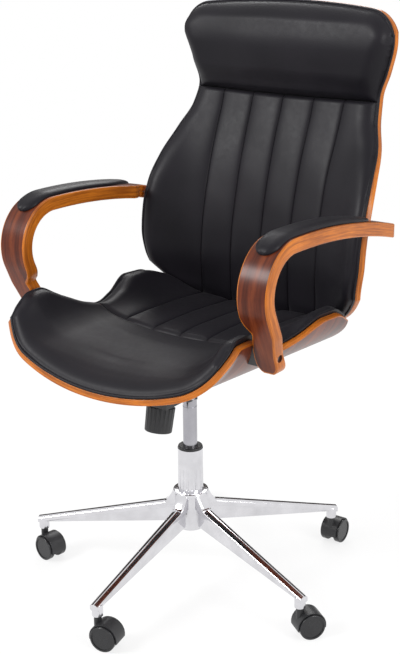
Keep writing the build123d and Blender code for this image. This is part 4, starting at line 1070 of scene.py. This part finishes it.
def uneven(points, size, height):
    """Slow swells that keep a stuffed surface from looking turned."""
    x, y, z = points[..., 0] / size, points[..., 1] / size, points[..., 2] / size
    broad = np.sin(2.1 * x + 0.7 * y + 1.3) * np.cos(1.7 * y - 0.9 * z)
    return height * (broad + 0.6 * np.sin(3.3 * z + 1.9 * x + 0.4)) / 1.6


def fullness(axis, places, heights, fall, fall_shares=None):
    """Height of a cushion's crown over the ply, which falls to the sides."""

    def full(points):
        crown = smooth(places, heights, points[..., axis])
        side = fall * (points[..., 0] / CROWN_HALF) ** 2
        return crown - (side * smooth(*fall_shares, points[..., axis]) if fall_shares else side)

    return full


def cushion(name, node, shape, outlines, grid, rows, full, roll, seam, channel=0.0):
    """A padded cover on the ply: welted edges, a rolled seam at one end and sewn channels.

    The seam is given as its end, how far the cover dips into it and how wide its roll is."""
    seam_end, seam_dip, seam_roll = seam
    points, normals = cover(shape, *outlines, PAD_INSET, *grid, eased(rows))
    side = run_lengths(points, 1)
    end = run_lengths(points, 0)
    far = end[-1:] - end
    outer, inner = (far, end) if seam_end == "low" else (end, far)
    edge = near_edge(side, side[:, -1:] - side, outer)
    height = full(points)
    if channel:
        height = height - channel_dip(points[..., 0], channel)
    height = height - seam_dip * (1 - rolled(inner / seam_roll, SEAM_POWER))
    height = height + uneven(points, SWELL_SIZE, SWELL_HEIGHT)
    height = edge_height(edge, height, roll)
    piece = closed_sheet(name, points + normals * height[..., None], points + normals * PAD_FOOT)
    finish_piece(piece, "seat", (LEATHER,), "leather", node)


def seat_seam(gap):
    """Line across the seat beside the seam."""
    return lambda x: np.full_like(np.asarray(x, float), SEAT_SEAM + gap)


def back_seam(gap):
    """Line across the back beside the seam, which rises to its ends."""
    rise = SEAM_END_RISE
    return lambda x: BACK_SEAM + rise * (np.asarray(x, float) / BACK_TOP_CORNER[0]) ** 2 + gap


def near_low(shape):
    return lambda x: shape.low(x) + PAD_INSET


def near_high(shape):
    return lambda x: shape.high(x) - PAD_INSET


cushion(
    "front_cushion", "seat_front_cushion", SEAT, (near_low(SEAT), seat_seam(-SEAM_GAP / 2)),
    PLAIN_GRID, 110, fullness(*SEAT_FRONT_FULL, SEAT_FRONT_FALL), 24.0, ("high", 13.0, 16.0),
)
cushion(
    "rear_cushion", "seat_rear_cushion", SEAT, (seat_seam(SEAM_GAP / 2), near_high(SEAT)),
    CHANNEL_GRID, 110, fullness(*SEAT_REAR_FULL), 20.0, ("low", 12.0, 14.0), channel=5.0,
)
cushion(
    "back_pad", "back_cushion", BACK, (near_low(BACK), back_seam(-SEAM_GAP / 2)),
    CHANNEL_GRID, 140, fullness(*BACK_FULL), 34.0, ("high", 12.0, 12.0), channel=6.0,
)
cushion(
    "headrest_pad", "headrest_cushion", BACK, (back_seam(SEAM_GAP / 2), near_high(BACK)),
    PLAIN_GRID, 90, fullness(*HEAD_FULL), 30.0, ("low", 14.0, 20.0),
)
for name, side in (("left", 1), ("right", -1)):
    armrest(name, side)
    arm_pad(name, side)

# Camera, floor and light

CAMERA_PLACE = (1381.3, -1826.7, 1296.8)
CAMERA_AZIMUTH = math.radians(37.095)
CAMERA_PAN = math.radians(0.522)
CAMERA_PITCH = math.radians(18.691)
CAMERA_ROLL = math.radians(-0.4726)
FOCAL_PIXELS = 1273.89
FRAME_HEIGHT = 654
SENSOR = 36.0

# Stage, in metres: the floor's glow near by and far out as (distance, share), the card behind
# the chair, and the lamps as name, place, size and power, all of which face one point
FLOOR_SIZE = 80
FLOOR_NEAR = (0.5, 0.78)
FLOOR_FAR = (3.0, 1.0)
CARD_PLACE = (-2.1, 2.8, 1.75)
CARD_SIZE = (7.0, 2.9, 1.0)
LAMP_AIM = (0.0, 0.0, 0.65)
LAMPS = (
    ("key", (-1.6, -2.6, 2.6), (1.2, 1.2), 85),
    ("side", (2.6, -0.2, 1.6), (0.9, 1.8), 38),
    ("back_light", (-1.4, 2.2, 2.2), (1.6, 1.0), 30),
)

camera_data = bpy.data.cameras.new("camera")
camera_data.sensor_width = SENSOR
camera_data.sensor_fit = "AUTO"
camera_data.lens = FOCAL_PIXELS / FRAME_HEIGHT * SENSOR
camera_data.clip_end = 50
camera = bpy.data.objects.new("camera", camera_data)
bpy.context.scene.collection.objects.link(camera)
camera.matrix_world = (
    Matrix.Translation(Vector(CAMERA_PLACE) * MM)
    @ Matrix.Rotation(CAMERA_AZIMUTH - CAMERA_PAN, 4, "Z")
    @ Matrix.Rotation(math.pi / 2 - CAMERA_PITCH, 4, "X")
    @ Matrix.Rotation(CAMERA_ROLL, 4, "Z")
)
bpy.context.scene.camera = camera


def white_to_eye(graph, plain, bright, share):
    """Shader that is plain for light and, by a share, bright where the eye or a mirror sees it."""
    path = graph.add("ShaderNodeLightPath").outputs
    seen = graph.maths("MAXIMUM", path["Is Camera Ray"], path["Is Glossy Ray"])
    seen = graph.maths("MAXIMUM", seen, path["Is Transmission Ray"])
    inputs = {0: graph.maths("MULTIPLY", seen, share), 1: plain.outputs[0], 2: bright.outputs[0]}
    return graph.add("ShaderNodeMixShader", inputs).outputs[0]


world = bpy.data.worlds.new("studio")
bpy.context.scene.world = world
sky = Graph(world)
soft_sky = sky.add("ShaderNodeBackground", {"Color": (*WHITE, 1.0), "Strength": 0.72})
white_sky = sky.add("ShaderNodeBackground", {"Color": (*WHITE, 1.0), "Strength": 1.0})
sky.add("ShaderNodeOutputWorld", {0: white_to_eye(sky, soft_sky, white_sky, 1.0)})

# The floor shows the chair's shadow near by and turns white further out
floor_material, ground = new_material("pale_floor")
floor_paint = ground.add(
    "ShaderNodeBsdfPrincipled",
    {"Base Color": (0.92, 0.92, 0.92, 1.0), "Roughness": 0.8, "Specular IOR Level": 0.0},
)
floor_glow = ground.add("ShaderNodeEmission", {"Color": (*WHITE, 1.0), "Strength": 1.0})
floor_place = ground.add("ShaderNodeNewGeometry").outputs["Position"]
floor_reach = ground.add("ShaderNodeVectorMath", {0: floor_place}, operation="LENGTH")
floor_share = ground.add(
    "ShaderNodeMapRange",
    {
        "Value": floor_reach.outputs["Value"],
        "From Min": FLOOR_NEAR[0], "To Min": FLOOR_NEAR[1],
        "From Max": FLOOR_FAR[0], "To Max": FLOOR_FAR[1],
    },
    interpolation_type="SMOOTHSTEP",
)
floor_look = white_to_eye(ground, floor_paint, floor_glow, floor_share.outputs[0])
ground.add("ShaderNodeOutputMaterial", {0: floor_look})
bpy.ops.mesh.primitive_plane_add(size=FLOOR_SIZE, location=(0, 0, 0))
floor = bpy.context.object
floor.name = "floor"
floor.data.materials.append(floor_material)

# A dark card behind the chair, seen only in mirrors such as the chrome
card_material, card_look = new_material("dark_card")
card_look.surface(Base_Color=(0.035, 0.026, 0.022, 1.0), Roughness=0.9)
upright = (math.pi / 2, 0, CAMERA_AZIMUTH)
bpy.ops.mesh.primitive_plane_add(size=1, location=CARD_PLACE, rotation=upright)
card = bpy.context.object
card.name = "dark_card"
card.scale = CARD_SIZE
card.data.materials.append(card_material)
card.visible_camera = False
card.visible_diffuse = False
card.visible_shadow = False

for name, place, size, power in LAMPS:
    lamp_data = bpy.data.lights.new(name, "AREA")
    lamp_data.shape = "RECTANGLE"
    lamp_data.size, lamp_data.size_y = size
    lamp_data.energy = power
    lamp = bpy.data.objects.new(name, lamp_data)
    bpy.context.scene.collection.objects.link(lamp)
    lamp.location = place
    lamp.rotation_mode = "QUATERNION"
    way = Vector(LAMP_AIM) - Vector(place)
    lamp.rotation_quaternion = way.to_track_quat("-Z", "Y")
